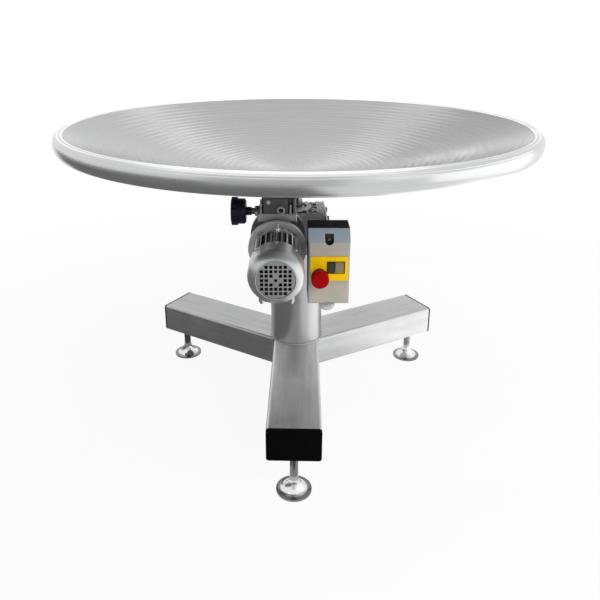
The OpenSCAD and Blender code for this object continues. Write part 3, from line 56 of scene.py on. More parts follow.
def make_camera():
    """Places the camera where the rim, the leg ends and the feet fit the photograph."""
    look_down = 0.32
    data = bpy.data.cameras.new("camera")
    data.sensor_width = 36
    data.lens = 36.32
    data.shift_x = 0.0207
    data.shift_y = -0.1167
    data.clip_end = 100
    camera = bpy.data.objects.new("camera", data)
    camera.location = (-0.0251, -1.5812, 1.0280)
    camera.rotation_euler = (math.pi / 2 - look_down, 0, 0)
    scene.collection.objects.link(camera)
    scene.camera = camera


def seen_directly(tree):
    """A socket that is 1 for rays from the camera, a mirror or glass, and 0 for the rest."""
    path = tree.nodes.new("ShaderNodeLightPath")
    total = path.outputs["Is Camera Ray"]
    for name in ("Is Glossy Ray", "Is Transmission Ray"):
        add = tree.nodes.new("ShaderNodeMath")
        add.operation = "ADD"
        add.use_clamp = True
        tree.links.new(total, add.inputs[0])
        tree.links.new(path.outputs[name], add.inputs[1])
        total = add.outputs[0]
    return total


def make_world(fill):
    """White where it is seen, and a weaker even fill where it lights a matt surface."""
    world = bpy.data.worlds.new("studio")
    world.use_nodes = True
    tree = world.node_tree
    strength = tree.nodes.new("ShaderNodeMapRange")
    strength.inputs["To Min"].default_value = fill
    strength.inputs["To Max"].default_value = 1
    tree.links.new(seen_directly(tree), strength.inputs["Value"])
    background = tree.nodes["Background"]
    background.inputs["Color"].default_value = (1, 1, 1, 1)
    tree.links.new(strength.outputs["Result"], background.inputs["Strength"])
    scene.world = world


def make_lamp(name, place, target, size, power):
    """A soft square lamp that points at the target. Metal mirrors the cards in its place."""
    data = bpy.data.lights.new(name, "AREA")
    data.shape = "SQUARE"
    data.size = size
    data.energy = power
    lamp = bpy.data.objects.new(name, data)
    lamp.location = place
    aim = Vector(target) - Vector(place)
    lamp.rotation_euler = aim.to_track_quat("-Z", "Y").to_euler()
    lamp.visible_glossy = False
    scene.collection.objects.link(lamp)


def make_panel(name, corners, material):
    """A flat four-cornered stage panel."""
    mesh = bpy.data.meshes.new(name)
    mesh.from_pydata(corners, [], [(0, 1, 2, 3)])
    panel = bpy.data.objects.new(name, mesh)
    mesh.materials.append(material)
    scene.collection.objects.link(panel)
    return panel


def floor_material():
    """Pale floor: near white where it is seen, with the object's soft shadow kept."""
    look = Look("pale_floor", (0.9, 0.9, 0.9), roughness=0.9)
    glow = look.tree.nodes.new("ShaderNodeEmission")
    glow.inputs["Strength"].default_value = 1
    away = look.tree.nodes.new("ShaderNodeVectorMath")
    away.operation = "LENGTH"
    look.join(look.place(), away.inputs[0])
    fade = look.level(away.outputs["Value"], 0.9, 1, start=0.6, end=2.2)
    share = look.math("MULTIPLY", fade, seen_directly(look.tree))
    blend = look.tree.nodes.new("ShaderNodeMixShader")
    for socket, source in zip(blend.inputs, (share, look.shader.outputs[0], glow.outputs[0])):
        look.join(source, socket)
    look.join(blend.outputs[0], look.tree.nodes["Material Output"].inputs["Surface"])
    return look.material


def card_material(name, strength):
    """Evenly lit card that only shows in reflections."""
    material = bpy.data.materials.new(name)
    material.use_nodes = True
    tree = material.node_tree
    glow = tree.nodes.new("ShaderNodeEmission")
    glow.inputs["Color"].default_value = (1, 1, 1, 1)
    glow.inputs["Strength"].default_value = strength
    tree.links.new(glow.outputs[0], tree.nodes["Material Output"].inputs["Surface"])
    return material


def make_card(name, corners, strength):
    """A studio card that metal reflects and that neither shows nor casts a shadow."""
    card = make_panel(name, corners, card_material(name, strength))
    card.visible_camera = False
    card.visible_diffuse = False
    card.visible_transmission = False
    card.visible_volume_scatter = False
    card.visible_shadow = False


def make_level_card(name, left, right, near, far, height, strength):
    """A card that lies level."""
    corners = [(left, near, height), (right, near, height), (right, far, height), (left, far, height)]
    make_card(name, corners, strength)


def make_upright_card(name, start, end, low, high, strength):
    """A card that stands between two places in plan."""
    make_card(name, [(*start, low), (*end, low), (*end, high), (*start, high)], strength)


def make_strips(back):
    """Two bowed strips behind the table, which the dish's rings break into fans of light."""
    bow = [(0.04, 1.2), (0.22, 1.42), (0.35, 1.77), (0.37, 2.2), (0.31, 2.6), (0.27, 2.9)]
    half = 0.06
    for name, side, strength in (("left", -1, 1.7), ("right", 1, 1.6)):
        for k, ((low_x, low_z), (high_x, high_z)) in enumerate(zip(bow, bow[1:])):
            corners = [(side * low_x - half, back, low_z), (side * low_x + half, back, low_z),
                       (side * high_x + half, back, high_z), (side * high_x - half, back, high_z)]
            make_card("strip_%s_%d" % (name, k), corners, strength)


def make_stage():
    """A wide floor, and the cards whose reflections shape the metal."""
    reach = 30
    corners = [(-reach, -reach, 0), (reach, -reach, 0), (reach, reach, 0), (-reach, reach, 0)]
    make_panel("floor", corners, floor_material())
    low, back = 0.001, 2.3
    make_level_card("card_floor_left", -3, -0.1, -3, 1, height=low, strength=0.2)
    make_level_card("card_floor_front", -0.1, 0.2, -3, -0.5, height=low, strength=0.2)
    make_level_card("card_floor_right", 0.4, 1.4, -0.4, 1, height=low, strength=1.7)
    make_upright_card("card_left", (-1.9, -2.5), (-1.9, 1.2), low=0, high=0.6, strength=0.14)
    make_upright_card("card_right", (1.9, -1.6), (1.9, 0.6), low=0, high=1.3, strength=1.65)
    make_upright_card("card_key", (1.25, -2.3), (2.15, -1.5), low=1.2, high=2.4, strength=1.35)
    make_upright_card("card_front", (-2.4, -3), (0.9, -3), low=0, high=2.2, strength=0.62)
    make_level_card("card_top", -1.7, 1.2, -1, 0.9, height=2.6, strength=1.55)
    make_strips(back)
    make_upright_card("strip_far_left", (-1.05, back), (-0.75, back), low=0.9, high=2.2, strength=0.95)
    make_upright_card("card_low_right", (0.55, back), (0.9, back), low=0.95, high=1.28, strength=1.4)
    make_upright_card("shade_right", (0.36, back), (2.2, back), low=1.35, high=3.2, strength=0.76)


# Materials

class Look:
    """One material: its node tree, with short ways to add nodes and join them."""

    across_lines = 0.25

    def __init__(self, name, colour, roughness, metallic=0.0):
        self.material = bpy.data.materials.new(name)
        self.material.use_nodes = True
        self.tree = self.material.node_tree
        self.shader = self.tree.nodes["Principled BSDF"]
        self.colour = colour
        self.set("Base Color", (*colour, 1))
        self.set("Roughness", roughness)
        self.set("Metallic", metallic)

    def set(self, socket, value):
        self.shader.inputs[socket].default_value = value

    def join(self, source, target):
        self.tree.links.new(source, target)

    def place(self):
        """Place on the object, in metres."""
        return self.tree.nodes.new("ShaderNodeTexCoord").outputs["Object"]

    def normal(self):
        return self.tree.nodes.new("ShaderNodeNewGeometry").outputs["Normal"]

    def math(self, operation, first, second=0.0):
        node = self.tree.nodes.new("ShaderNodeMath")
        node.operation = operation
        for socket, value in zip(node.inputs, (first, second)):
            if isinstance(value, (int, float)):
                socket.default_value = value
            else:
                self.join(value, socket)
        return node.outputs[0]

    def average(self, *values):
        total = values[0]
        for value in values[1:]:
            total = self.math("ADD", total, value)
        return self.math("MULTIPLY", total, 1 / len(values))

    def split(self, vector):
        """The three parts of a vector."""
        node = self.tree.nodes.new("ShaderNodeSeparateXYZ")
        self.join(vector, node.inputs[0])
        return node.outputs

    def length(self, first, second):
        """Length of a line that has these two parts."""
        squares = self.math("ADD", self.math("MULTIPLY", first, first), self.math("MULTIPLY", second, second))
        return self.math("SQRT", squares)

    def from_drive(self):
        """Distance from the drive's axis."""
        parts = self.split(self.place())
        return self.length(self.math("SUBTRACT", parts[0], drive_x), self.math("SUBTRACT", parts[2], drive_z))

    def around(self):
        """Radius, angle and height about the table's axis, as one vector."""
        x, y, z = self.split(self.place())
        pack = self.tree.nodes.new("ShaderNodeCombineXYZ")
        for socket, part in zip(pack.inputs, (self.length(x, y), self.math("ARCTAN2", y, x), z)):
            self.join(part, socket)
        return pack.outputs[0]

    def facing(self, centre):
        """1 where a face looks away from the centre, and 0 where it looks towards it."""
        away = self.tree.nodes.new("ShaderNodeVectorMath")
        away.operation = "SUBTRACT"
        self.join(self.place(), away.inputs[0])
        away.inputs[1].default_value = centre
        dot = self.tree.nodes.new("ShaderNodeVectorMath")
        dot.operation = "DOT_PRODUCT"
        self.join(away.outputs[0], dot.inputs[0])
        self.join(self.normal(), dot.inputs[1])
        return self.math("GREATER_THAN", dot.outputs["Value"], 0)

    def stretched(self, vector, scale, turn=0.0):
        """Turns a place back by an angle in plan, then scales its three parts."""
        node = self.tree.nodes.new("ShaderNodeMapping")
        node.vector_type = "TEXTURE"
        node.inputs["Rotation"].default_value = (0, 0, turn)
        node.inputs["Scale"].default_value = [1 / part for part in scale]
        self.join(vector, node.inputs["Vector"])
        return node.outputs[0]

    def noise(self, vector, scale=1.0, detail=3.0):
        node = self.tree.nodes.new("ShaderNodeTexNoise")
        node.inputs["Scale"].default_value = scale
        node.inputs["Detail"].default_value = detail
        self.join(vector, node.inputs["Vector"])
        return node.outputs["Fac"]

    def level(self, value, low, high, start=0.3, end=0.7):
        """Maps a value between start and end to a number between low and high."""
        node = self.tree.nodes.new("ShaderNodeMapRange")
        for name, number in zip(("From Min", "From Max", "To Min", "To Max"), (start, end, low, high)):
            node.inputs[name].default_value = number
        self.join(value, node.inputs["Value"])
        return node.outputs["Result"]

    def mix(self, value, first, second):
        """Gives the surface a colour between two others."""
        first_colour, second_colour, mixed_colour = 6, 7, 2
        node = self.tree.nodes.new("ShaderNodeMix")
        node.data_type = "RGBA"
        for index, colour in ((first_colour, first), (second_colour, second)):
            if isinstance(colour, tuple):
                node.inputs[index].default_value = (*colour, 1)
            else:
                self.join(colour, node.inputs[index])
        self.join(value, node.inputs[0])
        self.join(node.outputs[mixed_colour], self.shader.inputs["Base Color"])
        return node.outputs[mixed_colour]

    def tint(self, value, dark, light):
        """Varies the colour between two shares of itself."""
        shares = (tuple(min(1, share * c) for c in self.colour) for share in (dark, light))
        return self.mix(self.level(value, 0, 1), *shares)

    def dirt(self):
        """Varies the colour in broad patches, as old paint does."""
        return self.tint(self.noise(self.place(), scale=22, detail=5), dark=0.84, light=1.08)

    def rough(self, value, low, high):
        self.join(self.level(value, low, high), self.shader.inputs["Roughness"])

    def bump(self, value, depth, edge=0.0):
        """Raises the surface by a value, over edges that are rounded by the given radius."""
        node = self.tree.nodes.new("ShaderNodeBump")
        node.inputs["Distance"].default_value = depth
        self.join(value, node.inputs["Height"])
        self.join(node.outputs[0], self.shader.inputs["Normal"])
        if edge:
            soft = self.tree.nodes.new("ShaderNodeBevel")
            soft.inputs["Radius"].default_value = edge
            self.join(soft.outputs[0], node.inputs["Normal"])

    def turning_marks(self):
        """Fine lines round an upright turned part."""
        lines = self.noise(self.stretched(self.place(), (40, 40, 900)), detail=2)
        self.bump(lines, depth=0.00003)

    def along(self, turn):
        """Runs the brushed shine across lines that lie at this angle in plan."""
        node = self.tree.nodes.new("ShaderNodeCombineXYZ")
        node.inputs[0].default_value = math.cos(turn)
        node.inputs[1].default_value = math.sin(turn)
        self.join(node.outputs[0], self.shader.inputs["Tangent"])
        self.set("Anisotropic Rotation", self.across_lines)

    def round_z(self):
        """Runs the brushed shine across lines that go round the Z axis."""
        node = self.tree.nodes.new("ShaderNodeTangent")
        node.direction_type = "RADIAL"
        node.axis = "Z"
        self.join(node.outputs[0], self.shader.inputs["Tangent"])
        self.set("Anisotropic Rotation", self.across_lines)


def brushed_bar(name, turn, colour):
    """Stainless box section, brushed along its length and blotched by hand polishing."""
    look = Look(name, colour, roughness=0.36, metallic=1)
    fine_lines, broad_lines = (14, 1300, 1300), (5, 70, 70)
    place = look.place()
    fine = look.noise(look.stretched(place, fine_lines, turn), detail=2)
    broad = look.noise(look.stretched(place, broad_lines, turn), detail=4)
    blotch = look.noise(place, scale=13, detail=4)
    look.tint(look.average(fine, broad, blotch), dark=0.72, light=1.18)
    look.rough(blotch, low=0.3, high=0.42)
    look.bump(fine, depth=0.00002)
    look.set("Anisotropic", 0.6)
    look.along(turn)
    return look.material


def brushed_round(name, colour, roughness, rings, anisotropic):
    """Stainless turned or polished in circles about the table's axis."""
    look = Look(name, colour, roughness, metallic=1)
    fine_lines, broad_lines = (700, 3, 700), (rings, 1.3, rings)
    spread = 0.04
    polar = look.around()
    fine = look.noise(look.stretched(polar, fine_lines), detail=2)
    broad = look.noise(look.stretched(polar, broad_lines), detail=3)
    look.tint(look.average(fine, broad), dark=0.92, light=1.05)
    look.rough(broad, roughness - spread, roughness + spread)
    look.bump(fine, depth=0.00001)
    look.set("Anisotropic", anisotropic)
    look.round_z()
    return look.material


def polished(name, colour, roughness):
    """Bright steel with faint turning marks and handling haze."""
    look = Look(name, colour, roughness, metallic=1)
    smooth_share, hazy_share = 0.7, 1.5
    haze = look.noise(look.place(), scale=45, detail=3)
    look.tint(haze, dark=0.9, light=1.05)
    look.rough(haze, smooth_share * roughness, hazy_share * roughness)
    look.turning_marks()
    return look.material


def foot_material():
    """Bright flare on a darker stem, with its rolled edge at the floor painted dark as painted shade."""
    look = Look("foot_steel", (0.8, 0.8, 0.8), roughness=0.16, metallic=1)
    floor_shade_colour, stem_colour = (0.25, 0.25, 0.25), (0.2, 0.2, 0.2)
    place = look.place()
    height = look.split(place)[2]
    haze = look.noise(place, scale=45, detail=3)
    flare = look.tint(haze, dark=0.9, light=1.05)
    # The lowest few millimetres, where the rolled edge meets the floor, are painted dark as painted shade.
    edge = look.mix(look.level(height, 0, 1, start=0.005, end=0.0065), floor_shade_colour, flare)
    look.mix(look.level(height, 0, 1, start=0.03, end=0.045), edge, stem_colour)
    look.rough(haze, low=0.12, high=0.22)
    look.turning_marks()
    return look.material


def plated(name, colour):
    """Zinc-plated and machined steel."""
    look = Look(name, colour, roughness=0.3, metallic=1)
    place = look.place()
    grain = look.noise(place, scale=900, detail=3)
    haze = look.noise(place, scale=60, detail=3)
    look.tint(haze, dark=0.82, light=1.08)
    look.rough(haze, low=0.22, high=0.4)
    look.bump(grain, depth=0.00004)
    return look.material


def painted_metal(name, colour, roughness, metallic, grain_size, grain_depth):
    """Metal under a silver or dark paint, with a cast or sprayed grain below it."""
    look = Look(name, colour, roughness, metallic)
    smoother, rougher = 0.06, 0.08
    grain = look.noise(look.place(), scale=1 / grain_size, detail=4)
    look.dirt()
    look.rough(grain, roughness - smoother, roughness + rougher)
    look.bump(grain, grain_depth, edge=0.001)
    return look.material


def block_casting(lip, upper):
    """Dark control block on a lighter lip."""
    look = Look("block_casting", upper, roughness=0.42, metallic=0.5)
    lip_top = 0.6042
    place = look.place()
    grain = look.noise(place, scale=330, detail=4)
    look.mix(look.math("GREATER_THAN", look.split(place)[2], lip_top), lip, look.dirt())
    look.rough(grain, low=0.36, high=0.5)
    look.bump(grain, depth=0.00025, edge=0.0015)
    return look.material


def fan_cover_paint_and_inner_shade(colour):
    """Silver paint outside, with the faces inside the cover painted near black as painted shade, so that the
    grille's holes look deep.
    """
    look = Look("fan_cover_paint_and_inner_shade", colour, roughness=0.36, metallic=0.95)
    inside, inner_shade_colour = (drive_x, -0.345, drive_z), (0.004, 0.004, 0.004)
    grille_radius, grille_skin = 0.0425, -0.4046
    place = look.place()
    grain = look.noise(place, scale=250, detail=4)
    beyond = look.math("GREATER_THAN", look.from_drive(), grille_radius)
    skin = look.math("MAXIMUM", beyond, look.math("LESS_THAN", look.split(place)[1], grille_skin))
    # Inward faces behind the grille take the near-black colour as painted shade.
    look.mix(look.math("MULTIPLY", skin, look.facing(inside)), inner_shade_colour, look.dirt())
    look.rough(grain, low=0.3, high=0.44)
    look.bump(grain, depth=0.00012)
    return look.material


def frame_paint_and_gap_shade(colour):
    """Silver paint on the motor's fins, with painted shade in the gaps between them."""
    look = Look("frame_paint_and_gap_shade", colour, roughness=0.36, metallic=0.9)
    gap_radius, gap_shade_colour = 0.0562, (0.05, 0.05, 0.05)
    grain = look.noise(look.place(), scale=250, detail=4)
    # Surfaces nearer the axis than the fins' roots are painted dark as painted shade between the fins.
    look.mix(look.math("GREATER_THAN", look.from_drive(), gap_radius), gap_shade_colour, look.dirt())
    look.rough(grain, low=0.3, high=0.44)
    look.bump(grain, depth=0.00012, edge=0.0008)
    return look.material


def moulded(name, colour, roughness, gloss=0.5, grain_size=0.0012, grain_depth=0.00006):
    """Moulded plastic with an eroded grain and faint colour drift."""
    look = Look(name, colour, roughness)
    spread = 0.06
    look.set("Specular IOR Level", gloss)
    place = look.place()
    cells = look.tree.nodes.new("ShaderNodeTexVoronoi")
    cells.inputs["Scale"].default_value = 1 / grain_size
    look.join(place, cells.inputs["Vector"])
    drift = look.noise(place, scale=30, detail=3)
    look.tint(drift, dark=0.9, light=1.08)
    look.rough(drift, roughness - spread, roughness + spread)
    look.bump(cells.outputs["Distance"], grain_depth, edge=0.0008)
    return look.material


def cover_with_painted_light(front, upper):
    """Grey plastic cover with painted light: the front is tinted warm as painted warm light, and the top,
    slope and sides are tinted blue as painted sky reflection. The screw's slot is painted dark as painted
    shade.
    """
    look = Look("cover_plastic_painted_light", front, roughness=0.5)
    look.set("Specular IOR Level", 0.3)
    middle, slot_half, slot_skin, slot_shade_colour = 0.0695, 0.0104, 0.0006, (0.03, 0.03, 0.02)
    slope_rise, slope_foot, cover_front = 0.926, 0.8306, -0.3
    place = look.place()
    x, y, z = look.split(place)
    drift = look.noise(place, scale=30, detail=3)
    face = look.tint(drift, dark=0.92, light=1.06)
    # Faces that look along Y take the warm front colour as painted warm light; the others take the blue upper
    # colour as painted sky reflection.
    turned = look.math("ABSOLUTE", look.split(look.normal())[1])
    body = look.mix(look.level(turned, 0, 1, start=0.78, end=0.95), upper, face)
    # Inside the screw's recess, deeper than the cover's face, the colour is near black as painted shade.
    aside = look.math("ABSOLUTE", look.math("SUBTRACT", x, middle))
    line = look.math("SUBTRACT", look.math("MULTIPLY", z, slope_rise), slope_foot)
    depth = look.math("SUBTRACT", y, look.math("MAXIMUM", line, cover_front))
    deep = look.math("GREATER_THAN", depth, slot_skin)
    slot = look.math("MULTIPLY", look.math("LESS_THAN", aside, slot_half), deep)
    look.mix(slot, body, slot_shade_colour)
    look.rough(drift, low=0.44, high=0.56)
    look.bump(look.noise(place, scale=800, detail=3), depth=0.00005, edge=0.0012)
    return look.material


def bronze_material():
    """Bronze teeth around a steel hub."""
    look = Look("gear_bronze", (0.45, 0.28, 0.11), roughness=0.32, metallic=1)
    hub_radius, hub_colour = 0.027, (0.42, 0.42, 0.42)
    polar = look.around()
    lines = look.noise(look.stretched(polar, (1500, 4, 1500)), detail=2)
    haze = look.noise(look.place(), scale=70, detail=3)
    teeth = look.tint(haze, dark=0.8, light=1.1)
    look.mix(look.math("GREATER_THAN", look.split(polar)[0], hub_radius), hub_colour, teeth)
    look.rough(haze, low=0.26, high=0.4)
    look.bump(lines, depth=0.00005)
    return look.material


def stator_material():
    """Stacked laminations under brown varnish."""
    look = Look("varnished_core", (0.16, 0.07, 0.035), roughness=0.3, metallic=0.3)
    place = look.place()
    sheets = look.tree.nodes.new("ShaderNodeTexWave")
    sheets.bands_direction = "Y"
    sheets.inputs["Scale"].default_value = 300
    look.join(place, sheets.inputs["Vector"])
    drift = look.noise(place, scale=60, detail=4)
    look.tint(drift, dark=0.75, light=1.15)
    look.rough(drift, low=0.22, high=0.42)
    look.bump(sheets.outputs["Fac"], depth=0.0002)
    return look.material


def leg_turn(name):
    """Angle of a leg in plan, from the place of its node's middle."""
    low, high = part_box(name)
    return math.atan2(low.y + high.y, low.x + high.x)


def make_materials():
    """One material for each look, and the nodes that wear it."""
    steel = (0.48, 0.482, 0.485)
    silver = (0.57, 0.575, 0.58)
    # The three legs are one brushed stainless: the front leg is painted lighter and the left leg darker, as
    # painted light and shade.
    legs_with_painted_light = {"leg_front": (0.68, 0.682, 0.685), "leg_right": (0.55, 0.552, 0.555), "leg_left": steel}
    looks = [(brushed_bar(leg + "_steel", leg_turn(leg), colour), [leg]) for leg, colour in legs_with_painted_light.items()]
    looks += [
        (brushed_round("dish_steel", (0.43, 0.432, 0.435), roughness=0.2, rings=90, anisotropic=0.2),
         ["dish"]),
        (brushed_round("under_steel", steel, roughness=0.42, rings=90, anisotropic=0.3), ["dish_hub"]),
        (brushed_round("rim_steel", (0.62, 0.623, 0.627), roughness=0.28, rings=160, anisotropic=0.6),
         ["rim_ring"]),
        (brushed_round("column_steel", steel, roughness=0.32, rings=120, anisotropic=0.5),
         ["column", "column_top_plate"]),
        (brushed_bar("bracket_steel", math.pi / 2, steel), ["switch_bracket", "foot_bushes"]),
        (polished("polished_steel", (0.66, 0.665, 0.67), roughness=0.1), ["foot_lock_nuts"]),
        (polished("shaft_steel", (0.3, 0.3, 0.3), roughness=0.2), ["table_shaft"]),
        (foot_material(), ["foot_front", "foot_right", "foot_left"]),
        (plated("plated_steel", (0.6, 0.6, 0.59)),
         ["hub_fasteners", "shaft_retainer", "column_bolts", "output_bearings", "worm_bearings",
          "gearbox_fasteners", "worm_shaft", "planet_carrier", "friction_ring", "flange_bolts",
          "variator_fittings", "rotor", "motor_bearings", "motor_screws"]),
        (plated("dark_steel", (0.16, 0.16, 0.155)), ["control_spindle", "switch_screws"]),
        (bronze_material(), ["worm_wheel"]),
        (painted_metal("silver_paint", silver, roughness=0.36, metallic=0.95,
                       grain_size=0.004, grain_depth=0.00012),
         ["rear_shield", "terminal_box", "terminal_lid"]),
        (painted_metal("shield_casting", (0.72, 0.72, 0.72), roughness=0.48, metallic=0.75,
                       grain_size=0.0045, grain_depth=0.0006),
         ["motor_shield"]),
        (frame_paint_and_gap_shade((0.62, 0.62, 0.62)), ["motor_frame"]),
        (fan_cover_paint_and_inner_shade(silver), ["fan_cover"]),
        (painted_metal("cast_aluminium", (0.48, 0.485, 0.49), roughness=0.42, metallic=0.8,
                       grain_size=0.0035, grain_depth=0.0003),
         ["gearbox_housing", "gearbox_top_cover", "gearbox_base_flange", "input_flange"]),
        (painted_metal("dark_casting", (0.16, 0.162, 0.165), roughness=0.42, metallic=0.5,
                       grain_size=0.003, grain_depth=0.00025),
         ["variator_housing"]),
        (block_casting(lip=(0.5, 0.5, 0.5), upper=(0.13, 0.132, 0.135)), ["control_block"]),
        (stator_material(), ["stator"]),
        (moulded("black_plastic", (0.0015, 0.0015, 0.0015), roughness=0.42, gloss=0.06),
         ["leg_end_caps", "worm_end_cap", "cooling_fan", "terminal_gland", "stop_collar"]),
        (moulded("button_plastic", (0.04, 0.048, 0.032), roughness=0.4, gloss=0.2), ["start_button"]),
        (moulded("base_plastic", (0.003, 0.003, 0.003), roughness=0.45, gloss=0.015), ["switch_base"]),
        (moulded("wheel_plastic", (0.005, 0.006, 0.02), roughness=0.32, gloss=0.3),
         ["handwheel", "handwheel_cap"]),
        # The front and upper colours are painted warm light and painted sky reflection on one grey plastic.
        (cover_with_painted_light(front=(0.45, 0.42, 0.355), upper=(0.38, 0.45, 0.53)), ["switch_cover"]),
        (moulded("light_plastic", (0.6, 0.61, 0.63), roughness=0.45), ["switch_gland"]),
        (moulded("switch_plastic", (0.27, 0.2, 0.11), roughness=0.45, gloss=0.3), ["motor_switch"]),
        (moulded("yellow_plastic", (1.0, 0.6, 0.001), roughness=0.5, gloss=0.08), ["switch_plate"]),
        (moulded("red_plastic", (0.34, 0.001, 0.002), roughness=0.4, gloss=0.05,
                 grain_size=0.002, grain_depth=0.00003),
         ["stop_button"]),
        (moulded("black_rubber", (0.02, 0.02, 0.02), roughness=0.7, gloss=0.2,
                 grain_size=0.0008, grain_depth=0.0001),
         ["output_seals"]),
    ]
    for material, names in looks:
        for name in names:
            slots = nodes[name].data.materials
            slots.clear()
            slots.append(material)


# Fine surface pieces

def make_piece(name, shape, crisp):
    """A smooth-shaded piece of a shape, with edges over the crisp angle in degrees kept sharp."""
    mesh = bpy.data.meshes.new(name)
    shape.to_mesh(mesh)
    shape.free()
    mesh.shade_smooth()
    mesh.set_sharp_from_angle(angle=math.radians(crisp))
    piece = bpy.data.objects.new(name, mesh)
    scene.collection.objects.link(piece)
    return piece


def make_mesh(name, points, faces):
    """A piece of points and faces, with all faces turned outwards."""
    plain = bpy.data.meshes.new(name)
    plain.from_pydata(points, [], faces)
    shape = bmesh.new()
    shape.from_mesh(plain)
    bpy.data.meshes.remove(plain)
    bmesh.ops.recalc_face_normals(shape, faces=shape.faces)
    return make_piece(name, shape, crisp=35)


def lathe(name, profile, steps, closed=True):
    """Turns a profile of radius and height points about the Z axis."""
    on_axis = 1e-6
    points = []
    faces = []
    rings = []
    for radius, height in profile:
        start = len(points)
        if radius < on_axis:
            points.append((0, 0, height))
            rings.append([start] * steps)
            continue
        for k in range(steps):
            angle = full_turn * k / steps
            points.append((radius * math.cos(angle), radius * math.sin(angle), height))
        rings.append(list(range(start, start + steps)))
    next_rings = rings[1:] + rings[:1] if closed else rings[1:]
    for low, high in zip(rings, next_rings):
        for k in range(steps):
            after = (k + 1) % steps
            face = list(dict.fromkeys([low[k], low[after], high[after], high[k]]))
            if len(face) > 2:
                faces.append(face)
    return make_mesh(name, points, faces)


def dish_height(radius):
    """Height of the dish's upper face, a spherical bowl that ends at the rim."""
    edge, depth, bottom = 0.581, 0.128, 0.672
    sphere = (edge ** 2 + depth ** 2) / (2 * depth)
    return bottom + sphere - math.sqrt(sphere ** 2 - radius ** 2)


def ripple(radius):
    """Shallow spinning marks of the dish, fading out at its middle and its edge."""
    pitch, depth = 0.018, 0.00013
    middle, middle_fade = 0.1, 0.08
    edge, edge_fade = 0.568, 0.03
    rise = min(1, max(0, (radius - middle) / middle_fade))
    fall = min(1, max(0, (edge - radius) / edge_fade))
    return depth * (rise * fall) * math.cos(full_turn * radius / pitch)


def make_dish():
    """Spun dish with rings on its upper face and a plain underside."""
    edge, sheet = 0.576, 0.003
    upper_count, under_count, steps = 420, 72, 160
    upper = [edge * k / upper_count for k in range(upper_count + 1)]
    under = [edge * k / under_count for k in range(under_count, -1, -1)]
    profile = [(radius, dish_height(radius) + ripple(radius)) for radius in upper]
    profile += [(radius, dish_height(radius) - sheet) for radius in under]
    dish = lathe("spun_dish", profile, steps, closed=False)
    for name in ("dish", "dish_hub"):
        dish.data.materials.append(nodes[name].data.materials[0])
    for face in dish.data.polygons:
        face.material_index = int(face.normal.z < 0)
    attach(dish, "table")
    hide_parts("dish")


def arc(centre, radius, start, end, count):
    """Points on an arc between two angles in degrees."""
    angles = [math.radians(start + (end - start) * k / count) for k in range(count + 1)]
    return [(centre[0] + radius * math.cos(a), centre[1] + radius * math.sin(a)) for a in angles]


def bend(start, pull, push, end, count):
    """Points on a smooth curve from start to end, drawn towards two others."""
    curve = []
    for k in range(1, count + 1):
        t = k / count
        shares = ((1 - t) ** 3, 3 * t * (1 - t) ** 2, 3 * t * t * (1 - t), t ** 3)
        curve.append(tuple(sum(c * p[i] for c, p in zip(shares, (start, pull, push, end))) for i in (0, 1)))
    return curve


def make_rim():
    """Rolled rim with two beads and a groove on top, in millimetres from the dish's edge; the two bead crests
    wear a brighter steel as painted highlight lines.
    """
    edge, top, steps = 0.581, 0.8, 360
    crest = [(-5, -2.6), (-4.3, -1.8), (-3.6, -1.0), (-2.8, -0.5), (-1.6, -0.2), (-0.2, -0.3), (1.2, -0.9)]
    crest += [(2.4, -1.8), (3.4, -2.3), (4.2, -2.2)]
    crest += [(5, -1.4), (5.8, -0.8), (7, -0.5), (8.6, -0.6), (10.2, -1.2), (11.6, -2.2), (12.8, -3.4)]
    crest += [(14, -5), (15, -6.6), (15.4, -7.8), (16.2, -8.4), (16.9, -9.2)]
    outer = bend((16.9, -9.2), (18, -11.5), (19, -15), (19, -20), 10)
    outer += bend((19, -20), (19, -33), (13.5, -44), (5, -44), 24)
    inner = arc((5, -30), 11, -90, 0, 12) + arc((10, -9), 6, 0, 90, 8)
    profile = crest + outer + [(4, -44), (4, -41)] + inner + [(0, -3.6), (-5, -5.4)]
    rim = lathe("rolled_rim", [(edge + x / 1000, top + z / 1000) for x, z in profile], steps)
    # The rows on the two bead crests take a brighter steel as painted highlight lines.
    bead_highlight_steel = brushed_round("bead_highlight_steel", (0.92, 0.922, 0.925), roughness=0.16, rings=160, anisotropic=0.3)
    for material in (nodes["rim_ring"].data.materials[0], bead_highlight_steel):
        rim.data.materials.append(material)
    inner_bead, outer_bead = range(0, 6), range(9, 14)
    for face in rim.data.polygons:
        row = face.index // steps
        face.material_index = int(row in inner_bead or row in outer_bead)
    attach(rim, "table")
    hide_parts("rim_ring")


def make_weld(name, places, material, closed):
    """A rippled bead along places, each given with two directions across the bead."""
    sides, half, wave, wave_places = 8, 0.003, 0.1, 4
    points = []
    for k, (place, across, up) in enumerate(places):
        swell = half * (1 + wave * math.cos(full_turn * k / wave_places))
        for j in range(sides):
            turn = full_turn * j / sides
            points.append(place + swell * (math.cos(turn) * across + math.sin(turn) * up))
    count = len(places)
    faces = []
    for k in range(count if closed else count - 1):
        after = (k + 1) % count
        for j in range(sides):
            beside = (j + 1) % sides
            faces.append((k * sides + j, k * sides + beside, after * sides + beside, after * sides + j))
    if not closed:
        faces.append(tuple(range(sides)))
        faces.append(tuple(range((count - 1) * sides, count * sides)))
    bead = make_mesh(name, points, faces)
    bead.data.materials.append(material)
    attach(bead, "stand")


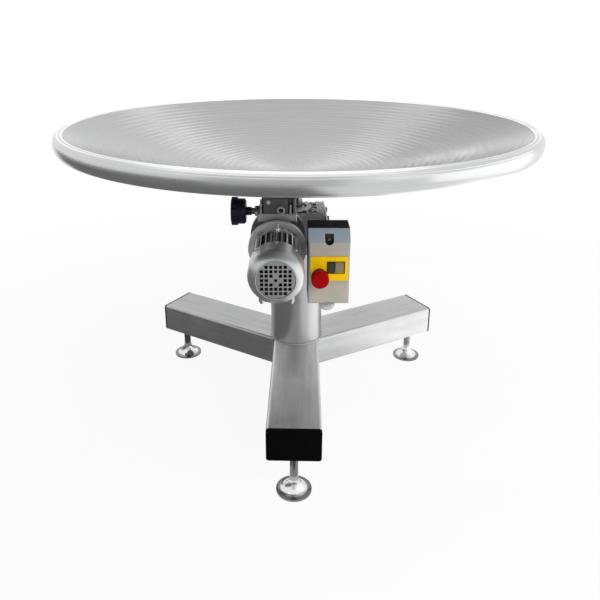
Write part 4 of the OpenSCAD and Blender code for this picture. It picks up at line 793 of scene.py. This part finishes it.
def make_welds():
    """Beads round the column's foot and down the three corners between the legs."""
    material = plated("weld_steel", (0.5, 0.5, 0.495))
    column_radius, leg_top, leg_low = 0.0722, 0.189, 0.110
    corner_reach, corner_drop = 0.0727, 0.004
    ring_steps, corner_steps = 480, 84
    up = Vector((0, 0, 1))
    ring = []
    for k in range(ring_steps):
        turn = full_turn * k / ring_steps
        out = Vector((math.cos(turn), math.sin(turn), 0))
        ring.append((column_radius * out + leg_top * up, out, up))
    make_weld("column_weld", ring, material, True)
    rise = leg_top - leg_low - corner_drop
    heights = [leg_low + rise * k / corner_steps for k in range(corner_steps + 1)]
    for name in ("leg_front", "leg_right", "leg_left"):
        turn = leg_turn(name) + math.pi / 3
        out = Vector((math.cos(turn), math.sin(turn), 0))
        side = Vector((-out.y, out.x, 0))
        corner = [(corner_reach * out + height * up, out, side) for height in heights]
        make_weld(name + "_weld", corner, material, False)


def make_sight_glass():
    """Dark domed glass in the ring on the control block's front."""
    dome = [(0, 0.0016), (0.002, 0.0015), (0.004, 0.001), (0.0055, 0.0002), (0.0058, 0)]
    back = [(0.0058, -0.0008), (0, -0.0008)]
    place = (-0.041, -0.1832, 0.614)
    glass = lathe("sight_glass", dome + back, steps=48, closed=False)
    glass.data.transform(Matrix.Translation(place) @ Matrix.Rotation(math.pi / 2, 4, "X"))
    look = moulded("sight_glass", (0.012, 0.012, 0.01), roughness=0.12, grain_size=0.004, grain_depth=0.00002)
    glass.data.materials.append(look)
    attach(glass, "stand")


def make_bars(name, bars, material):
    """Bars with rounded edges as one piece, each given by its middle, its size and its turn in plan."""
    shape = bmesh.new()
    for middle, size, turn in bars:
        place = Matrix.Translation(middle) @ Matrix.Rotation(turn, 4, "Z") @ Matrix.Diagonal((*size, 1))
        bmesh.ops.create_cube(shape, size=1, matrix=place)
    bmesh.ops.bevel(shape, geom=shape.edges, offset=0.0006, segments=2, profile=0.5, affect="EDGES")
    piece = make_piece(name, shape, crisp=50)
    piece.data.materials.append(material)
    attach(piece, "stand")


def make_gear_ribs():
    """Raised boss and ribs on top of the gearbox, a near-black ring as painted shade where its pockets lie,
    and the ribs along its foot face.
    """
    casting = painted_metal("rib_casting", (0.56, 0.565, 0.57), roughness=0.42, metallic=0.7,
                            grain_size=0.0035, grain_depth=0.0002)
    # The pockets are a thin near-black ring of painted shade laid on the casting, not a recess.
    pocket_shade = painted_metal("pocket_shade_casting", (0.03, 0.03, 0.03), roughness=0.5, metallic=0.3,
                           grain_size=0.0035, grain_depth=0.0003)
    top = 0.568
    boss_rows = [(0.0268, 0), (0.0268, 0.0055), (0.0285, 0.007)]
    boss_rows += [(0.0375, 0.007), (0.0395, 0.0055), (0.0405, 0)]
    ring_rows = [(0.0405, 0), (0.0405, 0.0006), (0.0545, 0.0006), (0.0555, 0)]
    boss = lathe("gear_boss", [(radius, top + height) for radius, height in boss_rows], steps=96)
    boss.data.materials.append(casting)
    ring = lathe("gear_pocket_shade", [(radius, top + height) for radius, height in ring_rows], steps=96)
    ring.data.materials.append(pocket_shade)
    for piece in (boss, ring):
        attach(piece, "stand")

    bars = []

    def add_bar(x, y, size, turn):
        bars.append(((x, y, top + size[2] / 2), size, turn))

    spokes, spoke_reach, spoke_size = 6, 0.047, (0.017, 0.0045, 0.005)
    for k in range(spokes):
        turn = full_turn * k / spokes
        add_bar(spoke_reach * math.cos(turn), spoke_reach * math.sin(turn), spoke_size, turn)
    brace_x, brace_y, brace_size, brace_turn = 0.046, 0.034, (0.027, 0.0038, 0.004), math.radians(52)
    for side in (-1, 1):
        for lean in (-1, 1):
            add_bar(brace_x, side * brace_y, brace_size, lean * brace_turn)
    ribs, rib_x, rib_step, rib_size = 4, 0.0555, 0.0062, (0.0034, 0.107, 0.004)
    for k in range(ribs):
        add_bar(rib_x + rib_step * k, 0, rib_size, 0)
    bed_x, bed_size = 0.0648, (0.023, 0.105, 0.001)
    add_bar(bed_x, 0, bed_size, 0)
    make_bars("gear_ribs", bars, casting)


def make_motor_bolt():
    """Bright screw with its nut on top of the motor."""
    screw = [(0, 0.019), (0.0022, 0.019), (0.003, 0.0182), (0.003, 0.008)]
    nut = [(0.0052, 0.008), (0.0058, 0.007), (0.0058, 0.002)]
    washer = [(0.007, 0.002), (0.007, 0.0005), (0, 0.0005)]
    place = (-0.0475, -0.255, 0.585)
    bolt = lathe("motor_bolt", screw + nut + washer, steps=24, closed=False)
    bolt.data.transform(Matrix.Translation(place))
    bolt.data.materials.append(plated("bright_bolt", (0.75, 0.75, 0.74)))
    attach(bolt, "stand")


def make_gland_nut():
    """Domed nut under the switch box's gland, with the dark hole for a cord."""
    hole = [(0.0095, 0.004), (0.0095, -0.0125)]
    dome = [(0.0115, -0.0138), (0.0145, -0.0125), (0.0178, -0.009)]
    dome += [(0.0192, -0.004), (0.0195, 0), (0.0185, 0.004)]
    place = (0.0695, -0.2506, 0.402)
    nut = lathe("gland_nut", hole + dome, steps=64)
    nut.data.transform(Matrix.Translation(place))
    nut.data.materials.append(nodes["switch_gland"].data.materials[0])
    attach(nut, "stand")


def make_window_frame():
    """Thin dark frame round the start button's window."""
    left, right, low, high = 0.0653, 0.1047, 0.4998, 0.5282
    proud, width, thick = -0.3029, 0.0016, 0.0012
    across, middle, mid_z = right - left + width, (left + right) / 2, (low + high) / 2
    plastic = moulded("frame_plastic", (0.012, 0.013, 0.01), roughness=0.4, gloss=0.2)
    bars = [((x, proud, mid_z), (width, thick, high - low), 0) for x in (left, right)]
    bars += [((middle, proud, z), (across, thick, width), 0) for z in (low, high)]
    make_bars("window_frame", bars, plastic)


scene.view_settings.view_transform = "Standard"
make_camera()
make_world(fill=0.6)
make_lamp("key", place=(1.7, -1.9, 1.8), target=(0, 0, 0.5), size=1.2, power=24)
make_lamp("front", place=(0.3, -2.5, 1.95), target=(0, 0, 0.5), size=1.2, power=13)
make_stage()
make_materials()
make_dish()
make_rim()
make_welds()
make_sight_glass()
make_gear_ribs()
make_motor_bolt()
make_gland_nut()
make_window_frame()
